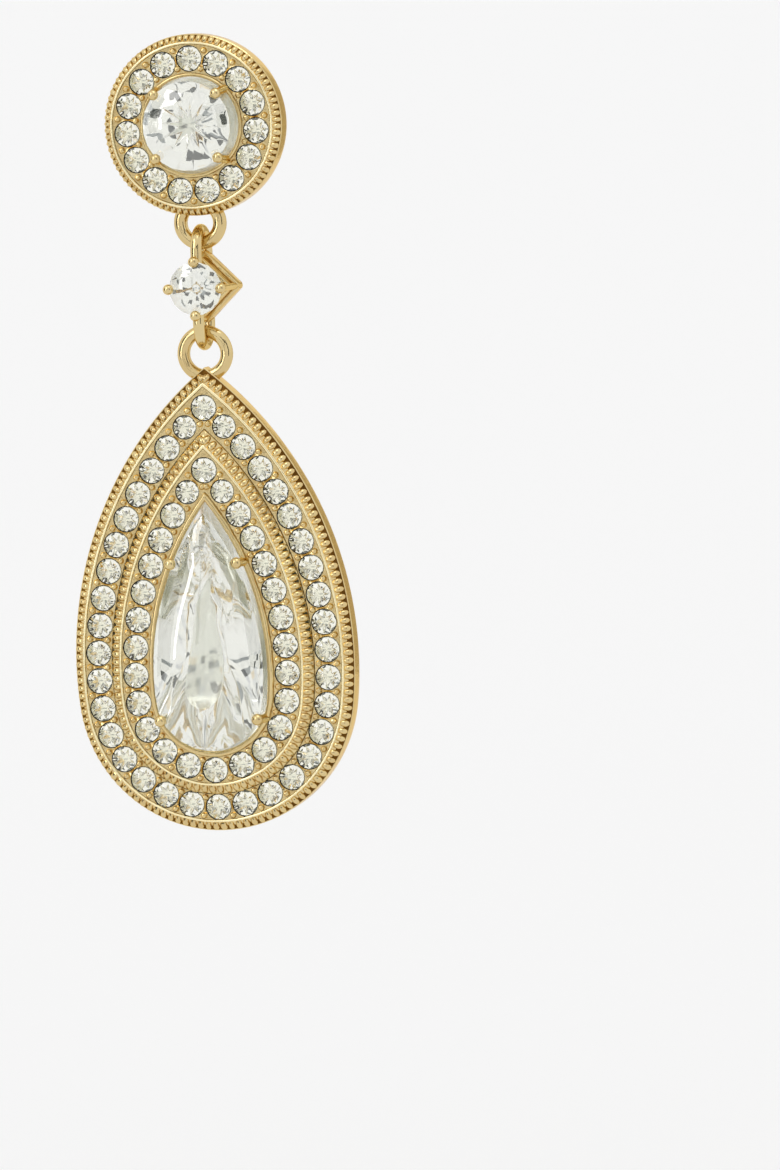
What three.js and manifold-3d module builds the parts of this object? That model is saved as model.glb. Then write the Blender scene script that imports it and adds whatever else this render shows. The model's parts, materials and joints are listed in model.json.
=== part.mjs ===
// A teardrop earring: a round stud on a post, a small stone link and a pear-shaped drop.
// Millimetres, +Z up. The origin is on the post's axis at the stud's flat back.
// The front of the jewel faces -Y and the post points to +Y.
// Every piece is drawn as seen from the front: x right, y up, z towards the viewer.
import * as THREE from "three";
import { mergeVertices } from "three/addons/utils/BufferGeometryUtils.js";
import { ConvexGeometry } from "three/addons/geometries/ConvexGeometry.js";
import Module from "manifold-3d";

const wasm = await Module();
wasm.setup();

// Clearances between pieces
const SEAT_GAP = 0.06; // between a stone or a pave band and the metal that holds it
const HANG_GAP = 0.06; // between two interlinked wires at rest
const SOCKET_GAP = 0.05; // between the post and its socket

// Stud
const STUD_RADIUS = 5.06;
const STUD_EDGE_ROUND = 0.66; // rounding of the back edge
const STUD_WALL = 1.75; // height of the straight wall, from the back plane
const STUD_SLOPE_WIDTH = 0.4; // milgrain band, measured inwards
const STUD_SLOPE_RISE = 0.6; // milgrain band, measured forwards
const STUD_RIDGE = 0.15; // width of the smooth ridge inside the milgrain
const STUD_BEADS = 84;
const STUD_CHANNEL_WIDTH = 1.6;
const STUD_CHANNEL_DEPTH = 0.85;
const STUD_COLLAR = 0.2; // width of the collar round the centre stone
const STUD_PAVE_STONES = 15;
const STUD_STONE_RADIUS = 2.5;
const STUD_STONE_LIFT = 1.0; // girdle of the centre stone in front of the ridge
const STUD_PIT_FLOOR = 0.95; // bottom of the hollow under the centre stone
const STUD_PIT_FOOT = 0.8; // radius of that bottom
const STUD_PRONG_ANGLE = Math.PI / 4; // first prong, from 3 o'clock
const STUD_RING_RADIUS = 1.12; // to the middle of the wire
const STUD_RING_WIRE = 0.38; // radius of the wire
const STUD_RING_DEPTH = 1.0; // middle of the wire in front of the back plane
const STUD_RING_DROP = 0.44; // centre of the ring below the stud's edge
const NOTCH_SIZE = 0.5; // small V notch filed in the back edge
const NOTCH_LOW = 0.65; // how far the notch lies below the post's axis

// Ear post
const POST_RADIUS = 0.4;
const POST_LENGTH = 12; // free length behind the stud
const POST_SEAT = 0.6; // how deep it is set in the stud
const POST_GROOVE_START = 9.7;
const POST_GROOVE_LENGTH = 1.0;
const POST_GROOVE_RADIUS = 0.3;
const POST_TIP_RADIUS = 0.34;
const POST_TIP_ROUND = 0.17;
const POST_GROOVE_FLANK = 0.15; // length of each slanted end of the groove
const POST_SIDES = 14;

// Link
const LINK_STONE_RADIUS = 1.5;
const LINK_STONE_FORWARD = 1.74; // girdle in front of the loops' middle
const LINK_BASKET_DEPTH = 2.8; // from the girdle back to the square frame
const LINK_CORNER = 1.85; // from the centre to a corner of the square frame
const LINK_RAIL = 0.22; // radius of the frame's wire
const LINK_PRONG = 0.2; // radius of a prong's wire
const LINK_HEIGHT = 7.08; // over both loops
const LOOP_BEND = 1.25; // radius of a loop's bend, to the middle of the wire
const LOOP_WIRE = 0.32; // radius of a loop's wire
const LOOP_ROOT = 1.25; // where a loop leaves the basket, from the link's centre

// Drop
const DROP_HALF_WIDTH = 8.02;
const DROP_HEIGHT = 25.95;
const DROP_WIDEST = 16.5; // depth of the widest place below the tip
const TIP_INSET = 1.55; // how far a tier's tip moves down for each mm of inset
const FOOT_INSET = 0.95; // how far its foot moves up
const WIDEST_INSET = 0.1; // how far its widest place moves down
const DROP_EDGE_ROUND = 0.45;
const DROP_WALL = 1.45;
const DROP_SLOPE_WIDTH = 0.57;
const DROP_SLOPE_RISE = 0.6;
const DROP_RIDGE = 0.15;
const DROP_BEADS = 144;
const OUTER_CHANNEL_WIDTH = 1.45;
const CHANNEL_DEPTH = 0.8;
const STEP_SLOPE_WIDTH = 0.53;
const STEP_SLOPE_RISE = 0.46;
const STEP_BEADS = 106;
const INNER_CHANNEL_WIDTH = 1.6;
const LIP_WIDTH = 0.33;
const LIP_RISE = 0.15;
const OUTER_PAVE_STONES = 36;
const INNER_PAVE_STONES = 26;
const PEAR_LIFT = 0.45; // girdle of the pear stone in front of the lip
const PEAR_MARGIN = 0.1; // gap seen between the lip and the stone's side
const PEAR_TIP_MARGIN = 0.6; // gap seen between the lip's tip and the stone's
const PEAR_FLOOR = 0.6; // bottom of the hollow under the pear stone
const PEAR_FOOT_INSET = 7.0; // inset of that bottom from the drop's outline
const PEAR_PRONGS_HIGH = 10.8; // depth of the upper pair of prongs below the tip
const PEAR_PRONGS_LOW = 19.6; // depth of the lower pair
const DROP_RING_RADIUS = 1.235;
const DROP_RING_WIRE = 0.355;
const DROP_RING_RISE = 0.75; // centre of the ring above the drop's tip
const DROP_RING_DEPTH = 1.04; // middle of the ring in front of the drop's back plane

// Pave stones, milgrain and prongs
const PAVE_RADIUS = 0.7;
const PAVE_TABLE = 0.4; // radius of a pave stone's table
const PAVE_SUNK = 0.1; // how far the girdle lies below the ridge beside it
const PAVE_CROWN = 0.34; // height of a pave stone above its girdle
const GRAIN_RADIUS = 0.19; // small metal beads that hold the pave stones
const GRAIN_OFFSET = 0.5; // from the middle of the row
const BEAD_HEIGHT = 0.16; // milgrain relief
const PRONG_BALL = 0.3;
const PRONG_WIRE = 0.24;
const PRONG_ROOT = 0.4; // how far a prong starts below the metal's front
const LINK_BALL_LIFT = 0.24; // middle of a link prong's ball in front of the girdle
const PIT_SHOULDER = 0.45; // straight part of the hole over a hollow
const STEP_OVERLAP = 0.15; // how far a raised tier is let into the one below
const CUT_PAST = 1; // how far a cutting shape runs past the face it cuts

// Cut of the main stones, as shares of their own radius and crown
const GIRDLE = 0.1;
const CROWN_SHARE = 0.2;
const PAVILION_SHARE = 0.82;
const TABLE_SCALE = 0.56;
const STAR_SCALE = 0.8;
const STAR_HEIGHT = 0.62;
const PAVILION_SCALE = 0.55;
const PAVILION_HEIGHT = 0.52;

const WIRE_SIDES = 6;
const TURN_STEPS = 14;

const GOLD = { color: 0xe5c878, roughness: 0.16, metalness: 1 };
const STEEL = { color: 0xb9bcc0, roughness: 0.3, metalness: 1 };
const STONE = { color: 0xf4f6f8, roughness: 0.02, metalness: 0 };

// A closed geometry as a solid that can be joined and cut
function solid(geometry) {
  const bare = geometry.clone();
  for (const name of Object.keys(bare.attributes)) {
    if (name !== "position") bare.deleteAttribute(name);
  }
  const merged = mergeVertices(bare, 1e-5);
  const vertProperties = new Float32Array(merged.attributes.position.array);
  const triVerts = new Uint32Array(merged.index.array);
  const mesh = new wasm.Mesh({ numProp: 3, vertProperties, triVerts });
  return new wasm.Manifold(mesh);
}

function geometryOf(body) {
  const mesh = body.getMesh();
  const geometry = new THREE.BufferGeometry();
  geometry.setAttribute("position", new THREE.BufferAttribute(mesh.vertProperties, 3));
  geometry.setIndex(new THREE.BufferAttribute(mesh.triVerts, 1));
  return geometry;
}

function joined(bodies) {
  return bodies.reduce((whole, body) => whole.add(body));
}

function named(name, geometry, finish) {
  const flat = geometry.toNonIndexed();
  flat.computeVertexNormals();
  const mesh = new THREE.Mesh(flat, new THREE.MeshStandardMaterial(finish));
  mesh.name = name;
  return mesh;
}

// A skin through closed loops of the same count, from the lowest z to the highest.
// The band above each loop that is listed in beaded carries a row of raised beads.
function loft(loops, beaded = []) {
  const count = loops[0].length;
  const points = loops.flat();
  const faces = [];
  for (let row = 0; row + 1 < loops.length; row += 1) {
    for (let i = 0; i < count; i += 1) {
      const a = row * count + i;
      const b = row * count + ((i + 1) % count);
      const c = b + count;
      const d = a + count;
      if (beaded.includes(row)) {
        const top = points.push(beadTop(points[a], points[b], points[c], points[d])) - 1;
        faces.push(a, b, top, b, c, top, c, d, top, d, a, top);
      } else {
        faces.push(a, b, c, a, c, d);
      }
    }
  }
  const flat = (loop) => loop.map((p) => new THREE.Vector2(p.x, p.y));
  const last = (loops.length - 1) * count;
  for (const [i, j, k] of THREE.ShapeUtils.triangulateShape(flat(loops[0]), [])) {
    faces.push(i, k, j);
  }
  for (const [i, j, k] of THREE.ShapeUtils.triangulateShape(flat(loops.at(-1)), [])) {
    faces.push(last + i, last + j, last + k);
  }
  const geometry = new THREE.BufferGeometry().setFromPoints(points);
  geometry.setIndex(faces);
  return solid(geometry);
}

function beadTop(a, b, c, d) {
  const middle = a.clone().add(b).add(c).add(d).multiplyScalar(0.25);
  const across = b.clone().add(c).sub(a).sub(d);
  const upward = c.clone().add(d).sub(a).sub(b);
  return middle.addScaledVector(across.cross(upward).normalize(), BEAD_HEIGHT);
}

function ringPath(radius) {
  return new THREE.Path().absarc(0, 0, radius, Math.PI / 2, Math.PI * 2.5, false);
}

// Two long side arcs that meet in a tip, and a round foot that runs into them
function teardropPath(halfWidth, tip, widest, foot) {
  const rise = widest - foot;
  const reach = tip - widest;
  const sideRadius = (halfWidth * halfWidth + reach * reach) / (2 * halfWidth);
  const sideCentre = sideRadius - halfWidth;
  const footRadius =
    (sideRadius ** 2 - sideCentre ** 2 - rise ** 2) / (2 * (sideRadius - rise));
  const join = Math.atan2(foot + footRadius - widest, sideCentre);
  const tipAngle = Math.atan2(reach, sideCentre);
  const path = new THREE.Path();
  path.absarc(sideCentre, widest, sideRadius, Math.PI - tipAngle, Math.PI - join, false);
  path.absarc(0, foot + footRadius, footRadius, Math.PI - join, 2 * Math.PI + join, false);
  path.absarc(-sideCentre, widest, sideRadius, join, tipAngle, false);
  return path;
}

// The outline of the drop, or of a tier that lies inside it; y runs down from the tip at 0
function tierPath(inset) {
  return teardropPath(
    DROP_HALF_WIDTH - inset,
    -TIP_INSET * inset,
    -DROP_WIDEST - WIDEST_INSET * inset,
    -DROP_HEIGHT + FOOT_INSET * inset,
  );
}

function loopOf(path, count, z) {
  const points = path.getSpacedPoints(count).slice(0, count);
  return points.map((p) => new THREE.Vector3(p.x, p.y, z));
}

// A straight-sided block with the outline of a path
function prism(path, count, low, high) {
  return loft([loopOf(path, count, low), loopOf(path, count, high)]);
}

// A rounded back edge in three steps, as pairs of inset and height
function roundedEdge(radius) {
  return [0, 1, 2, 3].map((step) => {
    const angle = (step / 3) * (Math.PI / 2);
    return { inset: radius * (1 - Math.sin(angle)), z: radius * (1 - Math.cos(angle)) };
  });
}

// A wire with closed ends along a curve
function wire(curve, radius, steps) {
  const section = new THREE.Shape().absarc(0, 0, radius, 0, Math.PI * 2, false);
  const outline = new THREE.Shape(section.getSpacedPoints(WIRE_SIDES).slice(0, WIRE_SIDES));
  const options = { steps, bevelEnabled: false, extrudePath: curve };
  return solid(new THREE.ExtrudeGeometry(outline, options));
}

function rod(start, end, radius) {
  return wire(new THREE.LineCurve3(start, end), radius, 1);
}

function ball(centre, radius) {
  const geometry = new THREE.IcosahedronGeometry(radius, 0);
  geometry.translate(centre.x, centre.y, centre.z);
  return solid(geometry);
}

function wireRing(radius, wireRadius, y, z) {
  const geometry = new THREE.TorusGeometry(radius, wireRadius, WIRE_SIDES, TURN_STEPS);
  geometry.rotateZ(Math.PI / 2);
  geometry.translate(0, y, z);
  return solid(geometry);
}

// A prong: a straight wire that leans over the girdle and ends in a ball
function prong(root, tip) {
  return rod(root, tip, PRONG_WIRE).add(ball(tip, PRONG_BALL));
}

// A brilliant cut over any round outline. The stone's middle is at x = 0.
// Grow widens it all round, for the seat that is cut into the metal.
function cutStone(path, mains, girdleZ, width, grow = 0) {
  const outline = path.getSpacedPoints(mains * 2).slice(0, mains * 2);
  const box = new THREE.Box2().setFromPoints(outline);
  const centre = box.getCenter(new THREE.Vector2());
  const crown = width * CROWN_SHARE;
  const pavilion = width * PAVILION_SHARE;
  const points = [];
  const ring = (scale, z, first, step) => {
    for (let i = first; i < outline.length; i += step) {
      const spoke = outline[i].clone().sub(centre);
      const length = spoke.length() * scale + grow;
      spoke.setLength(length).add(centre);
      points.push(new THREE.Vector3(spoke.x, spoke.y, z));
    }
  };
  ring(TABLE_SCALE, girdleZ + GIRDLE / 2 + crown + grow, 0, 2);
  ring(STAR_SCALE, girdleZ + GIRDLE / 2 + crown * STAR_HEIGHT + grow, 1, 2);
  ring(1, girdleZ + GIRDLE / 2 + grow, 0, 1);
  ring(1, girdleZ - GIRDLE / 2 - grow, 0, 1);
  ring(PAVILION_SCALE, girdleZ - GIRDLE / 2 - pavilion * PAVILION_HEIGHT - grow, 1, 2);
  points.push(new THREE.Vector3(centre.x, centre.y, girdleZ - GIRDLE / 2 - pavilion - grow));
  return solid(new ConvexGeometry(points));
}

// A row of small stones with metal grains between them, fused on its band
function paveBand(paths, count, stones, low, plane) {
  const band = prism(paths.outer, count, low, plane).subtract(
    prism(paths.inner, count, low - CUT_PAST, plane + CUT_PAST),
  );
  const places = paths.middle.getSpacedPoints(stones * 2).slice(0, stones * 2);
  const pieces = places.flatMap((place, i) => {
    if (i % 2 === 0) return [paveStone(place, plane)];
    const before = places[i - 1];
    const after = places[(i + 1) % places.length];
    const along = after.clone().sub(before).normalize();
    const side = new THREE.Vector2(along.y, -along.x).multiplyScalar(GRAIN_OFFSET);
    return [grain(place.clone().add(side), plane), grain(place.clone().sub(side), plane)];
  });
  return joined([band, ...pieces]);
}

function paveStone(place, plane) {
  const geometry = new THREE.CylinderGeometry(PAVE_TABLE, PAVE_RADIUS, PAVE_CROWN, 8);
  geometry.rotateX(Math.PI / 2);
  geometry.translate(place.x, place.y, plane + PAVE_CROWN / 2 - PAVE_SUNK / 2);
  return solid(geometry);
}

function grain(place, plane) {
  const geometry = new THREE.OctahedronGeometry(GRAIN_RADIUS, 0);
  geometry.translate(place.x, place.y, plane);
  return solid(geometry);
}

const studFront = STUD_WALL + STUD_SLOPE_RISE;
const studRidgeRadius = STUD_RADIUS - STUD_SLOPE_WIDTH;
const studChannelOuter = studRidgeRadius - STUD_RIDGE;
const studChannelInner = studChannelOuter - STUD_CHANNEL_WIDTH;
const studHole = studChannelInner - STUD_COLLAR;
const studChannelFloor = studFront - STUD_CHANNEL_DEPTH;
const studGirdle = studFront + STUD_STONE_LIFT;
const studRingY = -STUD_RADIUS - STUD_RING_DROP;

function studStone(grow) {
  return cutStone(ringPath(STUD_STONE_RADIUS), 8, studGirdle, STUD_STONE_RADIUS, grow);
}

function studBody() {
  const circle = (radius, z) => loopOf(ringPath(radius), STUD_BEADS, z);
  const edge = roundedEdge(STUD_EDGE_ROUND);
  const loops = edge.map((step) => circle(STUD_RADIUS - step.inset, step.z));
  loops.push(circle(STUD_RADIUS, STUD_WALL));
  loops.push(circle(studRidgeRadius, studFront));
  return loft(loops, [edge.length]);
}

function studChannel() {
  const above = studFront + CUT_PAST;
  const count = STUD_BEADS / 2;
  return prism(ringPath(studChannelOuter), count, studChannelFloor, above).subtract(
    prism(ringPath(studChannelInner), count, studChannelFloor - CUT_PAST, above + CUT_PAST),
  );
}

function studPit() {
  const profile = [
    new THREE.Vector2(0, STUD_PIT_FLOOR),
    new THREE.Vector2(STUD_PIT_FOOT, STUD_PIT_FLOOR),
    new THREE.Vector2(studHole, studFront - PIT_SHOULDER),
    new THREE.Vector2(studHole, studFront + CUT_PAST),
    new THREE.Vector2(0, studFront + CUT_PAST),
  ];
  const geometry = new THREE.LatheGeometry(profile, STUD_BEADS / 3);
  geometry.rotateX(Math.PI / 2);
  return solid(geometry);
}

function studProngs() {
  const rootRadius = studHole + STUD_COLLAR / 2;
  return [0, 1, 2, 3].map((i) => {
    const angle = STUD_PRONG_ANGLE + (i * Math.PI) / 2;
    const at = (radius, z) =>
      new THREE.Vector3(radius * Math.cos(angle), radius * Math.sin(angle), z);
    const root = at(rootRadius, studFront - PRONG_ROOT);
    return prong(root, at(STUD_STONE_RADIUS, studGirdle + PRONG_BALL));
  });
}

function notch() {
  const geometry = new THREE.BoxGeometry(NOTCH_SIZE * 3, NOTCH_SIZE, NOTCH_SIZE);
  geometry.rotateX(Math.PI / 4);
  geometry.translate(STUD_RADIUS, -NOTCH_LOW, 0);
  return solid(geometry);
}

function postSocket() {
  const depth = POST_SEAT + SOCKET_GAP;
  const geometry = new THREE.CylinderGeometry(
    POST_RADIUS + SOCKET_GAP,
    POST_RADIUS + SOCKET_GAP,
    depth * 2,
    POST_SIDES,
  );
  geometry.rotateX(Math.PI / 2);
  return solid(geometry);
}

function studFrame() {
  const ring = wireRing(STUD_RING_RADIUS, STUD_RING_WIRE, studRingY, STUD_RING_DEPTH);
  return joined([studBody(), ring])
    .subtract(studChannel())
    .subtract(studPit())
    .add(joined(studProngs()))
    .subtract(studStone(SEAT_GAP))
    .subtract(postSocket())
    .subtract(notch());
}

function studPave() {
  const paths = {
    outer: ringPath(studChannelOuter - SEAT_GAP),
    inner: ringPath(studChannelInner + SEAT_GAP),
    middle: ringPath((studChannelOuter + studChannelInner) / 2),
  };
  const low = studChannelFloor + SEAT_GAP;
  return paveBand(paths, STUD_BEADS / 2, STUD_PAVE_STONES, low, studFront - PAVE_SUNK);
}

function earPost() {
  const grooveEnd = POST_GROOVE_START + POST_GROOVE_LENGTH;
  const profile = [
    new THREE.Vector2(0, -POST_SEAT),
    new THREE.Vector2(POST_RADIUS, -POST_SEAT),
    new THREE.Vector2(POST_RADIUS, POST_GROOVE_START),
    new THREE.Vector2(POST_GROOVE_RADIUS, POST_GROOVE_START + POST_GROOVE_FLANK),
    new THREE.Vector2(POST_GROOVE_RADIUS, grooveEnd - POST_GROOVE_FLANK),
    new THREE.Vector2(POST_TIP_RADIUS, grooveEnd),
    new THREE.Vector2(POST_TIP_RADIUS, POST_LENGTH - POST_TIP_ROUND),
    new THREE.Vector2(POST_TIP_RADIUS - POST_TIP_ROUND, POST_LENGTH),
    new THREE.Vector2(0, POST_LENGTH),
  ];
  const geometry = new THREE.LatheGeometry(profile, POST_SIDES);
  geometry.rotateX(-Math.PI / 2);
  return solid(geometry);
}

const linkGirdle = LINK_STONE_FORWARD;
const linkBack = linkGirdle - LINK_BASKET_DEPTH;

function linkStone(grow) {
  return cutStone(ringPath(LINK_STONE_RADIUS), 8, linkGirdle, LINK_STONE_RADIUS, grow);
}

// A U-shaped loop that stands across the link, above the basket
function loopCurve() {
  const bendY = LINK_HEIGHT / 2 - LOOP_WIRE - LOOP_BEND;
  const curve = new THREE.CurvePath();
  const at = (y, z) => new THREE.Vector3(0, y, z);
  const bend = new THREE.CatmullRomCurve3(
    [0, 1, 2, 3, 4, 5, 6, 7, 8].map((step) => {
      const angle = (step / 8) * Math.PI;
      return at(bendY + LOOP_BEND * Math.sin(angle), LOOP_BEND * Math.cos(angle));
    }),
  );
  curve.add(new THREE.LineCurve3(at(LOOP_ROOT, LOOP_BEND), at(bendY, LOOP_BEND)));
  curve.add(bend);
  curve.add(new THREE.LineCurve3(at(bendY, -LOOP_BEND), at(LOOP_ROOT, -LOOP_BEND)));
  return curve;
}

function linkCorner(i, z) {
  const angle = (i * Math.PI) / 2;
  const share = (linkGirdle - z) / LINK_BASKET_DEPTH;
  const radius = LINK_STONE_RADIUS + (LINK_CORNER - LINK_STONE_RADIUS) * share;
  return new THREE.Vector3(radius * Math.cos(angle), radius * Math.sin(angle), z);
}

function linkFrame() {
  const square = new THREE.TorusGeometry(LINK_CORNER, LINK_RAIL, WIRE_SIDES, 4);
  square.translate(0, 0, linkBack);
  const prongs = [0, 1, 2, 3].map((i) =>
    rod(linkCorner(i, linkBack), linkCorner(i, linkGirdle + LINK_PRONG), LINK_PRONG).add(
      ball(linkCorner(i, linkGirdle + LINK_BALL_LIFT), PRONG_BALL),
    ),
  );
  const loop = wire(loopCurve(), LOOP_WIRE, TURN_STEPS);
  const loopBelow = loop.rotate([0, 0, 180]);
  return joined([solid(square), ...prongs, loop, loopBelow]).subtract(linkStone(SEAT_GAP));
}

const ridgeInset = DROP_SLOPE_WIDTH;
const outerChannel = ridgeInset + DROP_RIDGE;
const stepInset = outerChannel + OUTER_CHANNEL_WIDTH;
const stepRidgeInset = stepInset + STEP_SLOPE_WIDTH;
const innerChannel = stepRidgeInset + DROP_RIDGE;
const lipInset = innerChannel + INNER_CHANNEL_WIDTH;
const holeInset = lipInset + LIP_WIDTH;
const lowerFront = DROP_WALL + DROP_SLOPE_RISE;
const upperFront = lowerFront + STEP_SLOPE_RISE;
const lipFront = upperFront + LIP_RISE;
const pearGirdle = lipFront + PEAR_LIFT;
const pearHalfWidth = DROP_HALF_WIDTH - holeInset - PEAR_MARGIN;

// The pear stone sits inside the lip, with more room at its tip
function pearPath() {
  return teardropPath(
    pearHalfWidth,
    -TIP_INSET * holeInset - PEAR_TIP_MARGIN,
    -DROP_WIDEST - WIDEST_INSET * holeInset,
    -DROP_HEIGHT + FOOT_INSET * holeInset + PEAR_MARGIN,
  );
}

function pearStone(grow) {
  return cutStone(pearPath(), 12, pearGirdle, pearHalfWidth, grow);
}

function lowerTier() {
  const edge = roundedEdge(DROP_EDGE_ROUND);
  const loops = edge.map((step) => loopOf(tierPath(step.inset), DROP_BEADS, step.z));
  loops.push(loopOf(tierPath(0), DROP_BEADS, DROP_WALL));
  loops.push(loopOf(tierPath(ridgeInset), DROP_BEADS, lowerFront));
  return loft(loops, [edge.length]);
}

function upperTier() {
  const low = lowerFront - CHANNEL_DEPTH - STEP_OVERLAP;
  const loops = [
    loopOf(tierPath(stepInset), STEP_BEADS, low),
    loopOf(tierPath(stepInset), STEP_BEADS, lowerFront),
    loopOf(tierPath(stepRidgeInset), STEP_BEADS, upperFront),
  ];
  return loft(loops, [1]);
}

function channel(outer, inner, front) {
  const floor = front - CHANNEL_DEPTH;
  return prism(tierPath(outer), STEP_BEADS, floor, front + CUT_PAST).subtract(
    prism(tierPath(inner), STEP_BEADS, floor - CUT_PAST, front + 2 * CUT_PAST),
  );
}

function pearPit() {
  const count = STEP_BEADS / 2;
  return loft([
    loopOf(tierPath(PEAR_FOOT_INSET), count, PEAR_FLOOR),
    loopOf(tierPath(holeInset), count, upperFront - PIT_SHOULDER),
    loopOf(tierPath(holeInset), count, lipFront + CUT_PAST),
  ]);
}

function pearProngs() {
  const path = tierPath(holeInset - LIP_WIDTH / 2);
  const points = path.getSpacedPoints(STEP_BEADS);
  const nearest = (depth, side) =>
    points
      .filter((p) => p.x * side > 0)
      .reduce((a, b) => (Math.abs(a.y + depth) < Math.abs(b.y + depth) ? a : b));
  return [PEAR_PRONGS_HIGH, PEAR_PRONGS_LOW].flatMap((depth) =>
    [-1, 1].map((side) => {
      const at = nearest(depth, side);
      const root = new THREE.Vector3(at.x, at.y, lipFront - PRONG_ROOT);
      const lean = PEAR_MARGIN + LIP_WIDTH / 2;
      const tip = new THREE.Vector3(at.x - side * lean, at.y, pearGirdle + PRONG_BALL);
      return prong(root, tip);
    }),
  );
}

function dropFrame() {
  const lipFoot = upperFront - CHANNEL_DEPTH - STEP_OVERLAP;
  const lip = prism(tierPath(lipInset), STEP_BEADS, lipFoot, lipFront);
  const ring = wireRing(DROP_RING_RADIUS, DROP_RING_WIRE, DROP_RING_RISE, DROP_RING_DEPTH);
  return lowerTier()
    .add(ring)
    .subtract(channel(outerChannel, stepInset + STEP_OVERLAP, lowerFront))
    .add(upperTier())
    .subtract(channel(innerChannel, lipInset + STEP_OVERLAP, upperFront))
    .add(lip)
    .subtract(pearPit())
    .add(joined(pearProngs()))
    .subtract(pearStone(SEAT_GAP));
}

function dropPave(outer, inner, stones, front) {
  const paths = {
    outer: tierPath(outer + SEAT_GAP),
    inner: tierPath(inner - SEAT_GAP),
    middle: tierPath((outer + inner) / 2),
  };
  const low = front - CHANNEL_DEPTH + SEAT_GAP;
  return paveBand(paths, stones * 2, stones, low, front - PAVE_SUNK);
}

function build() {
  const stud = new THREE.Group();
  stud.add(named("stud_frame", geometryOf(studFrame()), GOLD));
  stud.add(named("stud_pave", geometryOf(studPave()), STONE));
  stud.add(named("stud_stone", geometryOf(studStone(0)), STONE));
  stud.add(named("ear_post", geometryOf(earPost()), STEEL));

  const link = new THREE.Group();
  const studHook = studRingY - STUD_RING_RADIUS;
  link.position.y = studHook + STUD_RING_WIRE + HANG_GAP + 2 * LOOP_WIRE - LINK_HEIGHT / 2;
  link.position.z = STUD_RING_DEPTH;
  link.add(named("link_frame", geometryOf(linkFrame()), GOLD));
  link.add(named("link_stone", geometryOf(linkStone(0)), STONE));

  const drop = new THREE.Group();
  const linkHook = link.position.y - LINK_HEIGHT / 2 + LOOP_WIRE;
  const ringHole = DROP_RING_RADIUS - DROP_RING_WIRE;
  drop.position.y = linkHook + LOOP_WIRE + HANG_GAP - ringHole - DROP_RING_RISE;
  drop.position.z = STUD_RING_DEPTH - DROP_RING_DEPTH;
  const outerPave = dropPave(outerChannel, stepInset, OUTER_PAVE_STONES, lowerFront);
  const innerPave = dropPave(innerChannel, lipInset, INNER_PAVE_STONES, upperFront);
  drop.add(named("drop_frame", geometryOf(dropFrame()), GOLD));
  drop.add(named("drop_outer_pave", geometryOf(outerPave), STONE));
  drop.add(named("drop_inner_pave", geometryOf(innerPave), STONE));
  drop.add(named("drop_stone", geometryOf(pearStone(0)), STONE));

  const earring = new THREE.Group();
  earring.rotation.x = Math.PI / 2;
  earring.add(stud, link, drop);
  return earring;
}

export default build();
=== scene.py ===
"""A teardrop earring: a stone-set stud on a post, a small stone link and a pear drop.

Each sub-assembly is drawn in its own front view, in millimetres: x to the right,
y up and z towards the viewer, from its own reference point. It is then placed in
the frame, where the front of the jewel faces -Y.
"""

import json
import logging
import math
import random
from dataclasses import dataclass, field
from enum import Enum, IntEnum
from typing import Callable, Protocol

import bmesh
import bpy
from mathutils import Matrix, Vector

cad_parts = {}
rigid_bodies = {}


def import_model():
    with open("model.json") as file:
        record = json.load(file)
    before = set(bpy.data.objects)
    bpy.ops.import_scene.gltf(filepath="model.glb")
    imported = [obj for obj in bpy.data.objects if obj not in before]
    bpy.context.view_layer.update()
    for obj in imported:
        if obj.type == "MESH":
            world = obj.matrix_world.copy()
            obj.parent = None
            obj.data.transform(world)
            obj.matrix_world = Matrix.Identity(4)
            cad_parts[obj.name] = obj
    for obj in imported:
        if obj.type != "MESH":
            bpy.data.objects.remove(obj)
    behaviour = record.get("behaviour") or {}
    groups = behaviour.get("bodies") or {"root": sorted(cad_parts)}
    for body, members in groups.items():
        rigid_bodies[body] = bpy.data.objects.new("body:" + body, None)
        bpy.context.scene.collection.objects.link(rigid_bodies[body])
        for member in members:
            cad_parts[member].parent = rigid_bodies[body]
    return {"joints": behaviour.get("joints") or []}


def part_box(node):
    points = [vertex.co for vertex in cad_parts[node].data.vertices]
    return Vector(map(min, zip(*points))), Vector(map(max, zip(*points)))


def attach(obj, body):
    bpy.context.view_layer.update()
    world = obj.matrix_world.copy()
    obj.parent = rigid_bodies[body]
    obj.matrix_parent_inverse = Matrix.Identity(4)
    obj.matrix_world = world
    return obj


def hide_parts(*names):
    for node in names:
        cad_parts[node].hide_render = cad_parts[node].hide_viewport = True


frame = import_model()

log = logging.getLogger("earring")

MM = 0.001
FULL_TURN = 2 * math.pi
# Each small stone is turned by this much more than the one before it, so that no two match
GOLDEN_ANGLE = 2.399
# How finely two outlines are matched, in parts of the way round
MATCH_STEPS = 1000


class Slot(Enum):
    """The record's material slots."""

    GOLD = "gold_plate"
    PAVE = "pave"
    STONE = "stone"
    POST = "post_steel"


class Face(IntEnum):
    """Which of a casting's or a row's finishes a face has."""

    GOLD = 0
    # painted shade: grooves and gaps painted dark brown gold
    RECESS = 1
    FOIL = 2
    # painted shade: the seat walls round the small stones painted almost black
    GAP = 3
    # painted highlight: the ridges painted pale bright gold
    BRIGHT = 4
    STONE = 5


class Body(Enum):
    """The bodies that swing against each other."""

    STUD = "stud"
    LINK = "link"
    DROP = "drop"


def linear(code: str) -> tuple[float, float, float, float]:
    """Turn an sRGB hex colour into linear light.

    Args:
        code: The colour as "#RRGGBB".

    Returns:
        Red, green and blue in linear light, and an alpha of 1.
    """
    shares = [int(code[start:start + 2], 16) / 255 for start in (1, 3, 5)]
    red, green, blue = (
        share / 12.92 if share <= 0.04045 else ((share + 0.055) / 1.055) ** 2.4
        for share in shares
    )
    return red, green, blue, 1.0


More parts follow.
